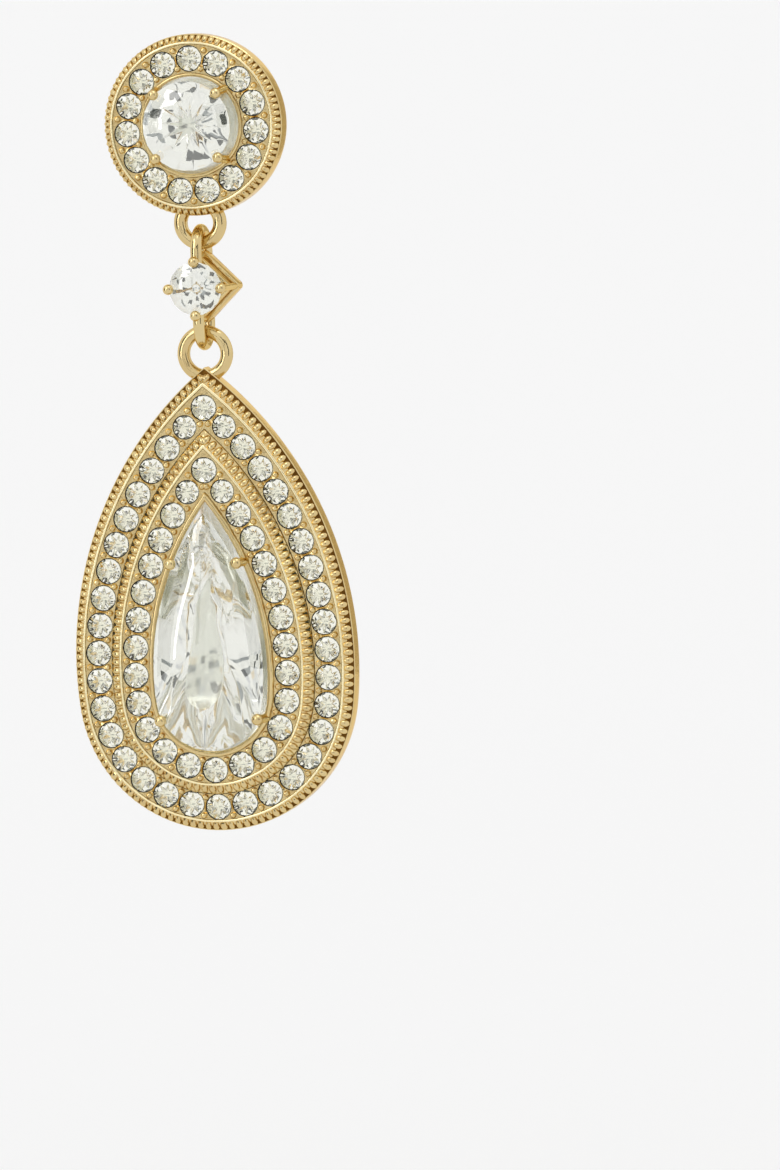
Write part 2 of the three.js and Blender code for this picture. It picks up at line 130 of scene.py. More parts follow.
def add_node(
    tree: bpy.types.NodeTree,
    kind: str,
    settings: dict[str, object] | None = None,
    inputs: dict[str | int, object] | None = None,
) -> bpy.types.Node:
    """Add a shader node with its settings, values and links.

    Args:
        tree: The material's node tree.
        kind: The node's type name.
        settings: Properties of the node itself.
        inputs: Values of its sockets, by name or number, or the output sockets that feed them.

    Returns:
        The new node.
    """
    node = tree.nodes.new(kind)
    for name, value in (settings or {}).items():
        setattr(node, name, value)
    for name, value in (inputs or {}).items():
        if isinstance(value, bpy.types.NodeSocket):
            tree.links.new(value, node.inputs[name])
        else:
            node.inputs[name].default_value = value
    return node


@dataclass(frozen=True)
class Finish:
    """What every finish has: the name of its real material and its main colour."""

    name: str
    colour: str

    def sockets(self, tree: bpy.types.NodeTree) -> dict[str, object]:
        """Give the values and links of the shader's sockets.

        Args:
            tree: The material's node tree, which takes the nodes of a pattern.

        Returns:
            A value or an output socket for each socket that is set.
        """
        return {"Base Color": linear(self.colour)}

    def build(self) -> bpy.types.Material:
        """Build the material.

        Returns:
            The finished material.
        """
        material = bpy.data.materials.new(self.name)
        material.use_nodes = True
        tree = material.node_tree
        tree.nodes.clear()
        shader = add_node(tree, "ShaderNodeBsdfPrincipled", inputs=self.sockets(tree))
        add_node(tree, "ShaderNodeOutputMaterial", inputs={"Surface": shader.outputs[0]})
        return material


@dataclass(frozen=True)
class PaintedBoard(Finish):
    """A matt coat or board: light spreads evenly from it, with no mirror image."""

    name: str = "matt_white_board"
    colour: str = "#FAFAFA"
    roughness: float = 0.9

    def sockets(self, tree: bpy.types.NodeTree) -> dict[str, object]:
        """Give the values of the shader's sockets."""
        return {**super().sockets(tree), "Roughness": self.roughness}


@dataclass(frozen=True)
class GoldPlate(Finish):
    """Pale yellow gold plate on cast brass, hand polished: bright, with soft tool marks."""

    name: str = "polished_gold_plate"
    colour: str = "#E7D5A1"
    shade: str = "#CDB079"
    roughness: float = 0.07
    worn_roughness: float = 0.2
    cloud_mm: float = 1.6
    ripple_mm: float = 0.3
    ripple_depth_mm: float = 0.02
    edge: str = "#FCE6B8"

    def sockets(self, tree: bpy.types.NodeTree) -> dict[str, object]:
        """Give the values and links of the shader's sockets.

        Args:
            tree: The material's node tree.

        Returns:
            The colour and gloss, cloudy from handling, and the ripples of the polish.
        """
        place = add_node(tree, "ShaderNodeTexCoord").outputs["Object"]
        cloud = add_node(
            tree, "ShaderNodeTexNoise",
            inputs={"Vector": place, "Scale": 1 / (self.cloud_mm * MM), "Detail": 3.0},
        )
        ripple = add_node(
            tree, "ShaderNodeTexNoise",
            inputs={"Vector": place, "Scale": 1 / (self.ripple_mm * MM), "Detail": 2.0},
        )
        tint = add_node(
            tree, "ShaderNodeMix", {"data_type": "RGBA"},
            {
                "Factor": cloud.outputs["Fac"],
                6: linear(self.colour), 7: linear(self.shade),
            },
        )
        dull = add_node(
            tree, "ShaderNodeMapRange",
            inputs={
                "Value": cloud.outputs["Fac"], "From Min": 0.35, "From Max": 0.7,
                "To Min": self.roughness, "To Max": self.worn_roughness,
            },
        )
        bump = add_node(
            tree, "ShaderNodeBump",
            inputs={
                "Height": ripple.outputs["Fac"],
                "Distance": self.ripple_depth_mm * MM, "Strength": 0.6,
            },
        )
        return {
            "Base Color": tint.outputs[2], "Metallic": 1.0, "Specular Tint": linear(self.edge),
            "Roughness": dull.outputs["Result"], "Normal": bump.outputs["Normal"],
        }


# The same plate in grooves and gaps, painted dark and brownish as the shade there, and dull
PAINTED_RECESS_SHADE_GOLD = GoldPlate("gold_plate_painted_recess_shade", "#7E5620", "#3E280C", 0.22, 0.4, cloud_mm=0.8)

# The same plate on narrow ridges, painted pale and bright as the highlight along them
PAINTED_HIGHLIGHT_GOLD = GoldPlate(
    "gold_plate_painted_ridge_highlight", "#FFF4CC", "#FBE9B4", 0.1, 0.16, ripple_depth_mm=0.003
)

# The same plate between the small stones, roughened by the graver: it glitters
STIPPLED_GOLD = GoldPlate(
    "stippled_gold_plate", "#F0DFAC", "#BE9C5C", 0.1, 0.22, cloud_mm=0.35, ripple_mm=0.13,
    ripple_depth_mm=0.035,
)

# Painted shade in the narrow gaps round the stones: almost black, dull
PAINTED_GAP_SHADE = PaintedBoard("painted_gap_shade", "#2E2614", 0.7)


@dataclass(frozen=True)
class CutStone(Finish):
    """Cubic zirconia, cut and polished: clear, sharp facets that throw light back."""

    name: str = "cut_cubic_zirconia"
    colour: str = "#F3F4EC"
    refraction: float = 2.15

    def sockets(self, tree: bpy.types.NodeTree) -> dict[str, object]:
        """Give the values of the shader's sockets."""
        clear = {"Roughness": 0.0, "IOR": self.refraction, "Transmission Weight": 1.0}
        return {**super().sockets(tree), **clear}


# Lead crystal, pressed and polished, in the small stones: clear with a faint warm tint
SMALL_CRYSTAL = CutStone("cut_lead_crystal", "#FEFDF2", 1.62)


@dataclass(frozen=True)
class SilverFoil(Finish):
    """Silver foil behind the stones: a bright mirror that throws their light back."""

    name: str = "silver_foil"
    colour: str = "#FDFDFD"
    roughness: float = 0.15

    def sockets(self, tree: bpy.types.NodeTree) -> dict[str, object]:
        """Give the values of the shader's sockets."""
        return {**super().sockets(tree), "Metallic": 1.0, "Roughness": self.roughness}


@dataclass(frozen=True)
class DrawnSteel(Finish):
    """Stainless steel wire, drawn and cut: grey, with fine lines along its length."""

    name: str = "drawn_stainless_steel"
    colour: str = "#C9CBCF"
    shade: str = "#9DA0A6"
    roughness: float = 0.28
    line_mm: float = 0.07
    stretch: float = 40.0
    groove_depth_mm: float = 0.004

    def sockets(self, tree: bpy.types.NodeTree) -> dict[str, object]:
        """Give the values and links of the shader's sockets.

        Args:
            tree: The material's node tree.

        Returns:
            The colour and the grooves of the drawn lines, and an even gloss.
        """
        place = add_node(tree, "ShaderNodeTexCoord").outputs["Object"]
        along = add_node(
            tree, "ShaderNodeMapping",
            inputs={"Vector": place, "Scale": (1.0, 1.0 / self.stretch, 1.0)},
        )
        lines = add_node(
            tree, "ShaderNodeTexNoise",
            inputs={
                "Vector": along.outputs["Vector"],
                "Scale": 1 / (self.line_mm * MM), "Detail": 2.0,
            },
        )
        tint = add_node(
            tree, "ShaderNodeMix", {"data_type": "RGBA"},
            {
                "Factor": lines.outputs["Fac"],
                6: linear(self.colour), 7: linear(self.shade),
            },
        )
        bump = add_node(
            tree, "ShaderNodeBump",
            inputs={
                "Height": lines.outputs["Fac"],
                "Distance": self.groove_depth_mm * MM, "Strength": 0.5,
            },
        )
        return {
            "Base Color": tint.outputs[2], "Metallic": 1.0, "Roughness": self.roughness,
            "Normal": bump.outputs["Normal"],
        }


class Outline(Protocol):
    """A closed outline that is walked once round, starting at its top."""

    def point(self, share: float) -> Vector:
        """Give the point at a share of the way round, anticlockwise from the top."""


@dataclass(frozen=True)
class RoundOutline:
    """A circle round the origin."""

    radius: float

    def point(self, share: float) -> Vector:
        """Give the point at a share of the way round, anticlockwise from the top."""
        angle = math.pi / 2 + FULL_TURN * share
        return Vector((self.radius * math.cos(angle), self.radius * math.sin(angle), 0))


@dataclass(frozen=True)
class TeardropOutline:
    """Two long side arcs that meet in a tip, and a round foot that runs into them."""

    half_width: float
    tip: float
    widest: float
    foot: float

    def point(self, share: float) -> Vector:
        """Give the point at a share of the way round, anticlockwise from the tip.

        Args:
            share: From 0 at the tip, over 0.5 at the foot, to 1 at the tip again.

        Returns:
            The point, with a height of 0.
        """
        rise = self.widest - self.foot
        reach = self.tip - self.widest
        side_radius = (self.half_width**2 + reach**2) / (2 * self.half_width)
        centre = side_radius - self.half_width
        foot_radius = (side_radius**2 - centre**2 - rise**2) / (2 * (side_radius - rise))
        join = math.atan2(self.foot + foot_radius - self.widest, centre)
        tip_angle = math.atan2(reach, centre)
        side_length = side_radius * (tip_angle - join)
        foot_length = foot_radius * (join + math.pi / 2)
        walked = (share % 1.0) * 2 * (side_length + foot_length)
        mirrored = walked > side_length + foot_length
        if mirrored:
            walked = 2 * (side_length + foot_length) - walked
        if walked <= side_length:
            angle = tip_angle - walked / side_radius
            x = centre - side_radius * math.cos(angle)
            y = self.widest + side_radius * math.sin(angle)
        else:
            angle = join - (walked - side_length) / foot_radius
            x = -foot_radius * math.cos(angle)
            y = self.foot + foot_radius + foot_radius * math.sin(angle)
        return Vector((-x if mirrored else x, y, 0))


Family = Callable[[float], Outline]


@dataclass(frozen=True)
class Step:
    """A place on a casting's profile: how far in, how high, and the finish up to it."""

    inset: float
    height: float
    finish: Face = Face.GOLD


def arc_steps(
    centre: Step, radius: float, start: float, end: float, count: int, finish: Face = Face.GOLD
) -> list[Step]:
    """Round a corner of a profile.

    Args:
        centre: The middle of the rounding.
        radius: Its radius in millimetres.
        start: The first angle in degrees, 0 towards the inside and 90 towards the front.
        end: The last angle in degrees.
        count: How many parts the rounding has.
        finish: The rounding's finish.

    Returns:
        The places along the rounding, both ends with it.
    """
    steps = []
    for index in range(count + 1):
        angle = math.radians(start + (end - start) * index / count)
        inset = centre.inset + radius * math.cos(angle)
        steps.append(Step(inset, centre.height + radius * math.sin(angle), finish))
    return steps


def milgrain_slope(wall: float, width: float, rise: float, ridge_foot: float) -> list[Step]:
    """Draw the slope that the milgrain lies on, from the wall's edge to the ridge's foot.

    Args:
        wall: The height of the wall's edge.
        width: How far in the ridge stands.
        rise: How far the ridge's top is above the wall's edge.
        ridge_foot: How far its foot is below its top.

    Returns:
        The places along the slope.
    """
    edge_sunk, edge_inset, edge_proud = 0.03, 0.05, 0.02
    bend_inset, bend_rise = width * 0.6, rise * 0.5
    return [
        Step(0.0, wall - edge_sunk),
        Step(edge_inset, wall + edge_proud),
        # the middle of the slope, between the beads, is painted shade
        Step(bend_inset, wall + bend_rise, Face.RECESS),
        Step(width, wall + rise - ridge_foot),
    ]


def next_loop(
    mesh: bmesh.types.BMesh, corners: list[bmesh.types.BMVert], spots: list[Vector], finish: Face
) -> list[bmesh.types.BMVert]:
    """Extrude a closed loop of corners to new spots.

    Args:
        mesh: The mesh to add to.
        corners: The loop's corners in order.
        spots: Where the new corners go, in the same order.
        finish: The finish of the new band of faces.

    Returns:
        The new corners.
    """
    pairs = zip(corners, corners[1:] + corners[:1])
    edges = [mesh.edges.get(pair) for pair in pairs]
    made = bmesh.ops.extrude_edge_only(mesh, edges=edges)["geom"]
    fresh = {item for item in made if isinstance(item, bmesh.types.BMVert)}
    for face in (item for item in made if isinstance(item, bmesh.types.BMFace)):
        face.material_index = finish
    moved = []
    for corner, spot in zip(corners, spots):
        ends = (edge.other_vert(corner) for edge in corner.link_edges)
        partner = next(end for end in ends if end in fresh)
        partner.co = spot
        moved.append(partner)
    return moved


def as_mesh(mesh: bmesh.types.BMesh, name: str) -> bpy.types.Mesh:
    """Keep a drawn shape as a mesh and free the drawing.

    Args:
        mesh: The drawing.
        name: The mesh's name.

    Returns:
        The mesh.
    """
    shape = bpy.data.meshes.new(name)
    mesh.to_mesh(shape)
    mesh.free()
    return shape


def fill(
    mesh: bmesh.types.BMesh, corners: list[bmesh.types.BMVert], finish: Face = Face.GOLD
) -> None:
    """Close a loop with one face.

    Args:
        mesh: The mesh to add to.
        corners: The loop's corners in order.
        finish: The face's finish.
    """
    for face in bmesh.ops.contextual_create(mesh, geom=corners)["faces"]:
        face.material_index = finish


def skin(mesh: bmesh.types.BMesh, family: Family, steps: list[Step], count: int) -> None:
    """Draw a closed skin over a profile that runs round a family of outlines.

    Args:
        mesh: The mesh to add to.
        family: Gives the outline at an inset.
        steps: The profile, from the middle of the back to the middle of the front.
        count: How many corners each loop has.
    """
    rings = []
    for step in steps:
        outline = family(step.inset)
        lift = Vector((0, 0, step.height))
        rings.append([outline.point(index / count) + lift for index in range(count)])
    corners = bmesh.ops.create_circle(mesh, cap_ends=False, segments=count, radius=1.0)["verts"]
    for corner, spot in zip(corners, rings[0]):
        corner.co = spot
    fill(mesh, corners)
    for step, ring in zip(steps[1:], rings[1:]):
        corners = next_loop(mesh, corners, ring, step.finish)
    fill(mesh, corners, steps[-1].finish)


def ball(mesh: bmesh.types.BMesh, centre: Vector, radius: float, sides: int = 16) -> None:
    """Add a ball.

    Args:
        mesh: The mesh to add to.
        centre: Its centre.
        radius: Its radius in millimetres.
        sides: How many sides it has round its equator.
    """
    bmesh.ops.create_uvsphere(
        mesh, u_segments=sides, v_segments=max(4, sides * 5 // 8), radius=radius,
        matrix=Matrix.Translation(centre),
    )


def rod(
    mesh: bmesh.types.BMesh, start: Vector, end: Vector, radius: float, end_radius: float,
    sides: int = 16,
) -> None:
    """Add a straight round rod, tapered or not, with closed ends.

    Args:
        mesh: The mesh to add to.
        start: The middle of its first end.
        end: The middle of its second end.
        radius: Its radius at the first end.
        end_radius: Its radius at the second end.
        sides: How many sides it has.
    """
    run = end - start
    turn = run.to_track_quat("Z", "Y").to_matrix().to_4x4()
    bmesh.ops.create_cone(
        mesh, cap_ends=True, segments=sides, radius1=radius, radius2=end_radius,
        depth=run.length, matrix=Matrix.Translation((start + end) / 2) @ turn,
    )


def bar(
    mesh: bmesh.types.BMesh, start: Vector, end: Vector, width: float, depth: float
) -> None:
    """Add a straight flat bar that faces the viewer, with softened edges.

    Args:
        mesh: The mesh to add to.
        start: The middle of its first corner joint.
        end: The middle of its second corner joint.
        width: Its width in millimetres.
        depth: Its depth from front to back.
    """
    run = end - start
    angle = math.atan2(run.y, run.x)
    place = Matrix.Translation((start + end) / 2) @ Matrix.Rotation(angle, 4, "Z")
    joint_overlap, bevel = width * 0.3, width * 0.16
    blank = bmesh.new()
    size = Matrix.Diagonal((run.length + joint_overlap, width, depth, 1))
    bmesh.ops.create_cube(blank, size=1.0, matrix=size)
    bmesh.ops.bevel(
        blank, geom=blank.edges, offset=bevel, segments=3, profile=0.5, material=-1,
        affect="EDGES",
    )
    set_in(mesh, as_mesh(blank, "bar"), place)


def wire_ring(mesh: bmesh.types.BMesh, centre: Vector, radius: float, wire: float) -> None:
    """Add a closed ring of round wire that faces the viewer.

    Args:
        mesh: The mesh to add to.
        centre: The ring's centre.
        radius: From the centre to the middle of the wire.
        wire: The wire's radius.
    """
    place = Matrix.Translation(centre + Vector((radius, 0, 0)))
    stand = Matrix.Rotation(math.pi / 2, 4, "X")
    made = bmesh.ops.create_circle(mesh, segments=18, radius=wire, matrix=place @ stand)
    rim = made["verts"] + list({edge for corner in made["verts"] for edge in corner.link_edges})
    bmesh.ops.spin(
        mesh, geom=rim, cent=centre, axis=(0, 0, 1), angle=FULL_TURN, steps=56, use_merge=True
    )


def drawn(draw: Callable[[bmesh.types.BMesh], object]) -> bpy.types.Mesh:
    """Draw a small shape once, so that it can be set in many places.

    Args:
        draw: Draws the shape into an empty mesh.

    Returns:
        The shape.
    """
    mesh = bmesh.new()
    draw(mesh)
    return as_mesh(mesh, "shape")


def set_in(mesh: bmesh.types.BMesh, shape: bpy.types.Mesh, place: Matrix) -> None:
    """Set a copy of a small shape in a mesh.

    Args:
        mesh: The mesh to add to.
        shape: The drawn shape.
        place: Where it goes, how it is turned and how it is stretched.
    """
    copy = shape.copy()
    copy.transform(place)
    mesh.from_mesh(copy)
    bpy.data.meshes.remove(copy)


@dataclass(frozen=True)
class BrilliantCut:
    """The cut of a stone: how its facets rise and fall, as shares of its half width."""

    mains: int = 8
    crown: float = 0.26
    pavilion: float = 0.86
    girdle: float = 0.04
    crown_rows: tuple[tuple[float, float], ...] = ((0.56, 1.0), (0.8, 0.6))
    pavilion_rows: tuple[tuple[float, float], ...] = ((0.2, 0.82),)
    keel: tuple[tuple[float, float], ...] = ()

    def shape(
        self, outline: Outline, width: float, middle: Vector = Vector((0, 0, 0)), finish: int = 0
    ) -> bpy.types.Mesh:
        """Draw a cut stone with its girdle at a height of 0.

        Args:
            outline: The outline of its girdle.
            width: The half width that the heights are shares of.
            middle: The point on the outline's plane that the facets run to.
            finish: Which of the piece's finishes it has.

        Returns:
            The stone.
        """
        mesh = bmesh.new()
        half = self.girdle / 2
        rows = [(1.0, half, 0, 2), (1.0, -half, 0, 2)]
        for number, (scale, share) in enumerate(self.crown_rows):
            rows.append((scale, half + self.crown * share, number % 2, 1))
        for number, (scale, share) in enumerate(self.pavilion_rows):
            rows.append((scale, -half - self.pavilion * share, (number + 1) % 2, 1))
        for scale, height, offset, density in rows:
            count = self.mains * density
            made = bmesh.ops.create_circle(mesh, segments=count, radius=1.0)["verts"]
            for index, corner in enumerate(made):
                spoke = outline.point((index + offset / 2) / count) - middle
                corner.co = spoke * scale + middle + Vector((0, 0, height * width))
        for share, depth in ((0.0, 1.0), *self.keel):
            spot = middle.lerp(outline.point(0.0), share)
            height = -(half + self.pavilion * depth) * width
            bmesh.ops.create_vert(mesh, co=spot + Vector((0, 0, height)))
        bmesh.ops.delete(mesh, geom=mesh.edges, context="EDGES_FACES")
        bmesh.ops.convex_hull(mesh, input=mesh.verts)
        loose = [corner for corner in mesh.verts if not corner.link_faces]
        bmesh.ops.delete(mesh, geom=loose, context="VERTS")
        for face in mesh.faces:
            face.material_index = finish
        return as_mesh(mesh, "stone")


@dataclass(frozen=True)
class BeadRow:
    """A row of milgrain: small beads rolled along a slanted band."""

    count: int
    inset: float
    width: float
    base: float
    rise: float
    proud: float = 0.15
    unevenness: float = 0.12
    reach: float = 0.43

    def add(self, mesh: bmesh.types.BMesh, family: Family) -> None:
        """Add the beads to a casting.

        Args:
            mesh: The mesh to add to.
            family: Gives the outline at an inset.
        """
        outline = family(self.inset + self.width / 2)
        height = self.base + self.rise / 2
        hand = random.Random(self.count)
        slope = math.atan2(self.rise, self.width)
        length = math.hypot(self.rise, self.width)
        shift = 0.25 / self.count
        pitch = (outline.point(0.25) - outline.point(0.25 + 1 / self.count)).length
        bead = drawn(lambda blank: bmesh.ops.create_uvsphere(
            blank, u_segments=8, v_segments=6, radius=1.0
        ))
        for index in range(self.count):
            share = (index + 0.5) / self.count
            at = outline.point(share)
            along = (outline.point(share + shift) - outline.point(share - shift)).normalized()
            outward = Vector((along.y, -along.x, 0))
            up_slope = Vector((0, 0, 1)) * math.sin(slope) - outward * math.cos(slope)
            off_slope = Vector((0, 0, 1)) * math.cos(slope) + outward * math.sin(slope)
            size = pitch * (0.5 + self.unevenness * (hand.random() - 0.7))
            axes = Matrix((along * size, up_slope * length * self.reach, off_slope * pitch * 0.5))
            place = axes.transposed().to_4x4()
            sunk = off_slope * (self.proud - pitch * 0.5)
            place.translation = at + Vector((0, 0, height)) + sunk
            set_in(mesh, bead, place)


def abreast(outline: Outline, middle: Outline, share: float) -> float:
    """Find the place on an outline that lies abreast of a place on another one.

    Args:
        outline: The outline to look along.
        middle: The other outline, inside or outside it.
        share: The place on the other outline.

    Returns:
        The place on the outline, never past its tip or its foot.
    """
    spot = middle.point(share)
    along = middle.point(share + 1 / MATCH_STEPS) - middle.point(share - 1 / MATCH_STEPS)
    low = math.floor(share * 2) / 2
    places = [min(max(share + step / MATCH_STEPS, low), low + 0.5) for step in range(-40, 41)]
    return min(places, key=lambda place: abs((outline.point(place) - spot).dot(along)))


@dataclass(frozen=True)
class PaveRow:
    """A row of small round stones in drilled seats, with metal grains between them."""

    stones: int
    outer: float
    inner: float
    floor: float
    plane: float
    cut: BrilliantCut = BrilliantCut(
        crown=0.3, pavilion=0.8, crown_rows=((0.52, 1.0), (0.8, 0.543)),
        pavilion_rows=((0.4, 0.63),),
    )
    stone_radius: float = 0.69
    seat_radius: float = 0.745
    seat_foot: float = 0.12
    seat_wall: float = 0.12
    seat_depth: float = 0.62
    dip: float = 0.07
    sunk: float = 0.03
    lean_degrees: float = 3.5
    grain_radius: float = 0.19
    grain_offset: float = 0.52
    seat_sides: int = 24
    tip_trim: float = 0.0

    def add(self, mesh: bmesh.types.BMesh, family: Family) -> None:
        """Add the band, its stones and its grains.

        Args:
            mesh: The mesh to add to.
            family: Gives the outline at an inset.
        """
        rims = (family(self.outer), family(self.inner))
        middle = family((self.outer + self.inner) / 2)
        for index in range(self.stones):
            self.add_cell(mesh, rims, middle, index)
        bmesh.ops.remove_doubles(mesh, verts=mesh.verts, dist=0.002)
        self.close_band(mesh)
        for index in range(self.stones):
            radius = self.stone_radius - self.trim(index)
            stone = self.cut.shape(RoundOutline(radius), radius, finish=Face.STONE)
            at = middle.point(index / self.stones) + Vector((0, 0, self.plane - self.sunk))
            turn = Matrix.Rotation(index * GOLDEN_ANGLE, 4, "Z")
            lean = Matrix.Rotation(math.radians(self.lean_degrees), 4, "X")
            set_in(mesh, stone, Matrix.Translation(at) @ turn @ lean @ turn)
        self.add_grains(mesh, middle)

    def trim(self, index: int) -> float:
        """Tell how much smaller a stone is for its place beside the tip."""
        return self.tip_trim if index in (1, self.stones - 1) else 0.0

    def border(
        self, rims: tuple[Outline, Outline], middle: Outline, index: int
    ) -> list[Vector]:
        """Give the edge of the piece of the band round one stone.

        Args:
            rims: The outlines of the band's outer and inner edge.
            middle: The outline that the stones stand on.
            index: The stone's number in the row.

        Returns:
            Its corners, anticlockwise from the outer rim.
        """
        quarter = self.seat_sides // 4
        first, last = (index - 0.5) / self.stones, (index + 0.5) / self.stones
        outer, inner = rims
        outer_first, outer_last = (abreast(outer, middle, share) for share in (first, last))
        inner_first, inner_last = (abreast(inner, middle, share) for share in (first, last))
        shares = [step / quarter for step in range(quarter)]
        at_tip = inner_last - inner_first < 0.001
        rim_shares = [step / quarter / 2 for step in range(2 * quarter)] if at_tip else shares
        dips = [Vector((0, 0, -self.dip * math.sin(math.pi * share))) for share in shares]
        sides = [
            [
                outer.point(outer_first + (outer_last - outer_first) * share)
                for share in rim_shares
            ],
            [
                outer.point(outer_last).lerp(inner.point(inner_last), share) + dip
                for share, dip in zip(shares, dips)
            ],
            [
                inner.point(inner_last + (inner_first - inner_last) * share)
                for share in shares if not at_tip
            ],
            [
                inner.point(inner_first).lerp(outer.point(outer_first), share) + dip
                for share, dip in zip(shares, dips)
            ],
        ]
        return [spot for side in sides for spot in side]

    def add_cell(
        self, mesh: bmesh.types.BMesh, rims: tuple[Outline, Outline], middle: Outline, index: int
    ) -> None:
        """Add the piece of the band round one stone, with its seat.

        Args:
            mesh: The mesh to add to.
            rims: The outlines of the band's outer and inner edge.
            middle: The outline that the stones stand on.
            index: The stone's number in the row.
        """
        cell = bmesh.new()
        centre = middle.point(index / self.stones)
        border = self.border(rims, middle, index)
        turn = math.atan2(border[0].y - centre.y, border[0].x - centre.x)
        rings = [border]
        trim = self.trim(index)
        for radius, depth in (
            (self.seat_radius - trim, 0.0),
            (self.seat_radius - trim, self.seat_wall),
            (self.stone_radius - trim, self.seat_wall),
            (self.seat_foot, self.seat_depth),
        ):
            ring = []
            for step in range(self.seat_sides):
                angle = turn + FULL_TURN * step / self.seat_sides
                spoke = Vector((radius * math.cos(angle), radius * math.sin(angle), -depth))
                ring.append(centre + spoke)
            rings.append(ring)
        lift = Vector((0, 0, self.plane))
        rings = [[spot + lift for spot in ring] for ring in rings]
        corners = bmesh.ops.create_circle(cell, segments=self.seat_sides, radius=1.0)["verts"]
        for corner, spot in zip(corners, rings[0]):
            corner.co = spot
        # the seat walls round each stone are painted shade, almost black
        finishes = (Face.GOLD, Face.GAP, Face.GAP, Face.FOIL)
        for ring, finish in zip(rings[1:], finishes):
            corners = next_loop(cell, corners, ring, finish)
        fill(cell, corners, Face.FOIL)
        set_in(mesh, as_mesh(cell, "cell"), Matrix.Identity(4))

    def close_band(self, mesh: bmesh.types.BMesh) -> None:
        """Give the band its two side walls and its underside.

        Args:
            mesh: The mesh, which holds nothing but the band's open top.
        """
        rims = [edge for edge in mesh.edges if edge.is_boundary]
        walls = bmesh.ops.extrude_edge_only(mesh, edges=rims)["geom"]
        for corner in (item for item in walls if isinstance(item, bmesh.types.BMVert)):
            corner.co.z = self.floor
        under = [item for item in walls if isinstance(item, bmesh.types.BMEdge)]
        bmesh.ops.bridge_loops(mesh, edges=[edge for edge in under if edge.is_boundary])

    def add_grains(self, mesh: bmesh.types.BMesh, middle: Outline) -> None:
        """Add the grains that hold the stones, two between each pair.

        Args:
            mesh: The mesh to add to.
            middle: The outline that the stones stand on.
        """
        grain = drawn(lambda blank: ball(blank, Vector((0, 0, 0)), self.grain_radius, sides=8))
        for index in range(self.stones):
            share = (index + 0.5) / self.stones
            shift = 0.25 / self.stones
            run = middle.point(share + shift) - middle.point(share - shift)
            side = Vector((run.y, -run.x, 0)).normalized() * self.grain_offset
            for offset in (side, -side):
                centre = middle.point(share) + offset + Vector((0, 0, self.plane))
                set_in(mesh, grain, Matrix.Translation(centre))


@dataclass
class Piece:
    """A finished piece: its mesh, its finishes, the body it rides on and its CAD node."""

    name: str
    node: str
    body: Body
    slot: Slot
    place: Matrix
    finishes: tuple[bpy.types.Material, ...]
    flat: tuple[int, ...] = ()
    sharp_degrees: float = 35.0
    flat_from: int = 12
    mesh: bmesh.types.BMesh = field(default_factory=bmesh.new)

    def close(self) -> bpy.types.Object:
        """Turn the drawn mesh into an object in the frame.

        Returns:
            The object, at the origin, unturned and unscaled.
        """
        bmesh.ops.recalc_face_normals(self.mesh, faces=self.mesh.faces)
        bmesh.ops.transform(self.mesh, matrix=self.place, verts=self.mesh.verts)
        for face in self.mesh.faces:
            few_sides = len(face.verts) <= self.flat_from
            face.smooth = few_sides and face.material_index not in self.flat
        data = as_mesh(self.mesh, self.name)
        data.set_sharp_from_angle(angle=math.radians(self.sharp_degrees))
        for finish in self.finishes:
            data.materials.append(finish)
        made = bpy.data.objects.new(self.name, data)
        bpy.context.scene.collection.objects.link(made)
        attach(made, self.body.value)
        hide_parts(self.node)
        log.info("%s: %d faces", self.name, len(data.polygons))
        return made


@dataclass(frozen=True)
class Finishes:
    """The finishes that the jewel is made in."""

    gold: bpy.types.Material
    # painted shade of the grooves and gaps
    recess: bpy.types.Material
    foil: bpy.types.Material
    # painted shade of the gaps round the small stones
    gap: bpy.types.Material
    # painted highlight of the ridges
    bright: bpy.types.Material
    crystal: bpy.types.Material
    stone: bpy.types.Material
    steel: bpy.types.Material
    stippled: bpy.types.Material

    @classmethod
    def build(cls) -> "Finishes":
        """Build every finish once."""
        return cls(
            GoldPlate().build(), PAINTED_RECESS_SHADE_GOLD.build(), SilverFoil().build(), PAINTED_GAP_SHADE.build(),
            PAINTED_HIGHLIGHT_GOLD.build(), SMALL_CRYSTAL.build(), CutStone().build(), DrawnSteel().build(),
            STIPPLED_GOLD.build(),
        )

    @property
    def casting(self) -> tuple[bpy.types.Material, ...]:
        """The finishes of a casting, in the order of Face."""
        return self.gold, self.recess, self.foil, self.gap, self.bright

    @property
    def row(self) -> tuple[bpy.types.Material, ...]:
        """The finishes of a row of small stones, in the order of Face."""
        return self.stippled, *self.casting[1:], self.crystal


def front_view(origin: Vector) -> Matrix:
    """Give the matrix from a front view in millimetres to the frame in metres.

    Args:
        origin: Where the view's origin lies in the frame, in metres.

    Returns:
        The matrix.
    """
    stand = Matrix.Rotation(math.pi / 2, 4, "X")
    return Matrix.Translation(origin) @ stand @ Matrix.Scale(MM, 4)


def set_level(centre: Vector, turn_degrees: float, lean_degrees: float) -> Matrix:
    """Give the place of a stone that was set by hand, a little turned and not quite level.

    Args:
        centre: The middle of its girdle.
        turn_degrees: How far it is turned about its own axis.
        lean_degrees: How far it leans forward.

    Returns:
        The place.
    """
    turn = Matrix.Rotation(math.radians(turn_degrees), 4, "Z")
    lean = Matrix.Rotation(math.radians(lean_degrees), 4, "X")
    return Matrix.Translation(centre) @ lean @ turn


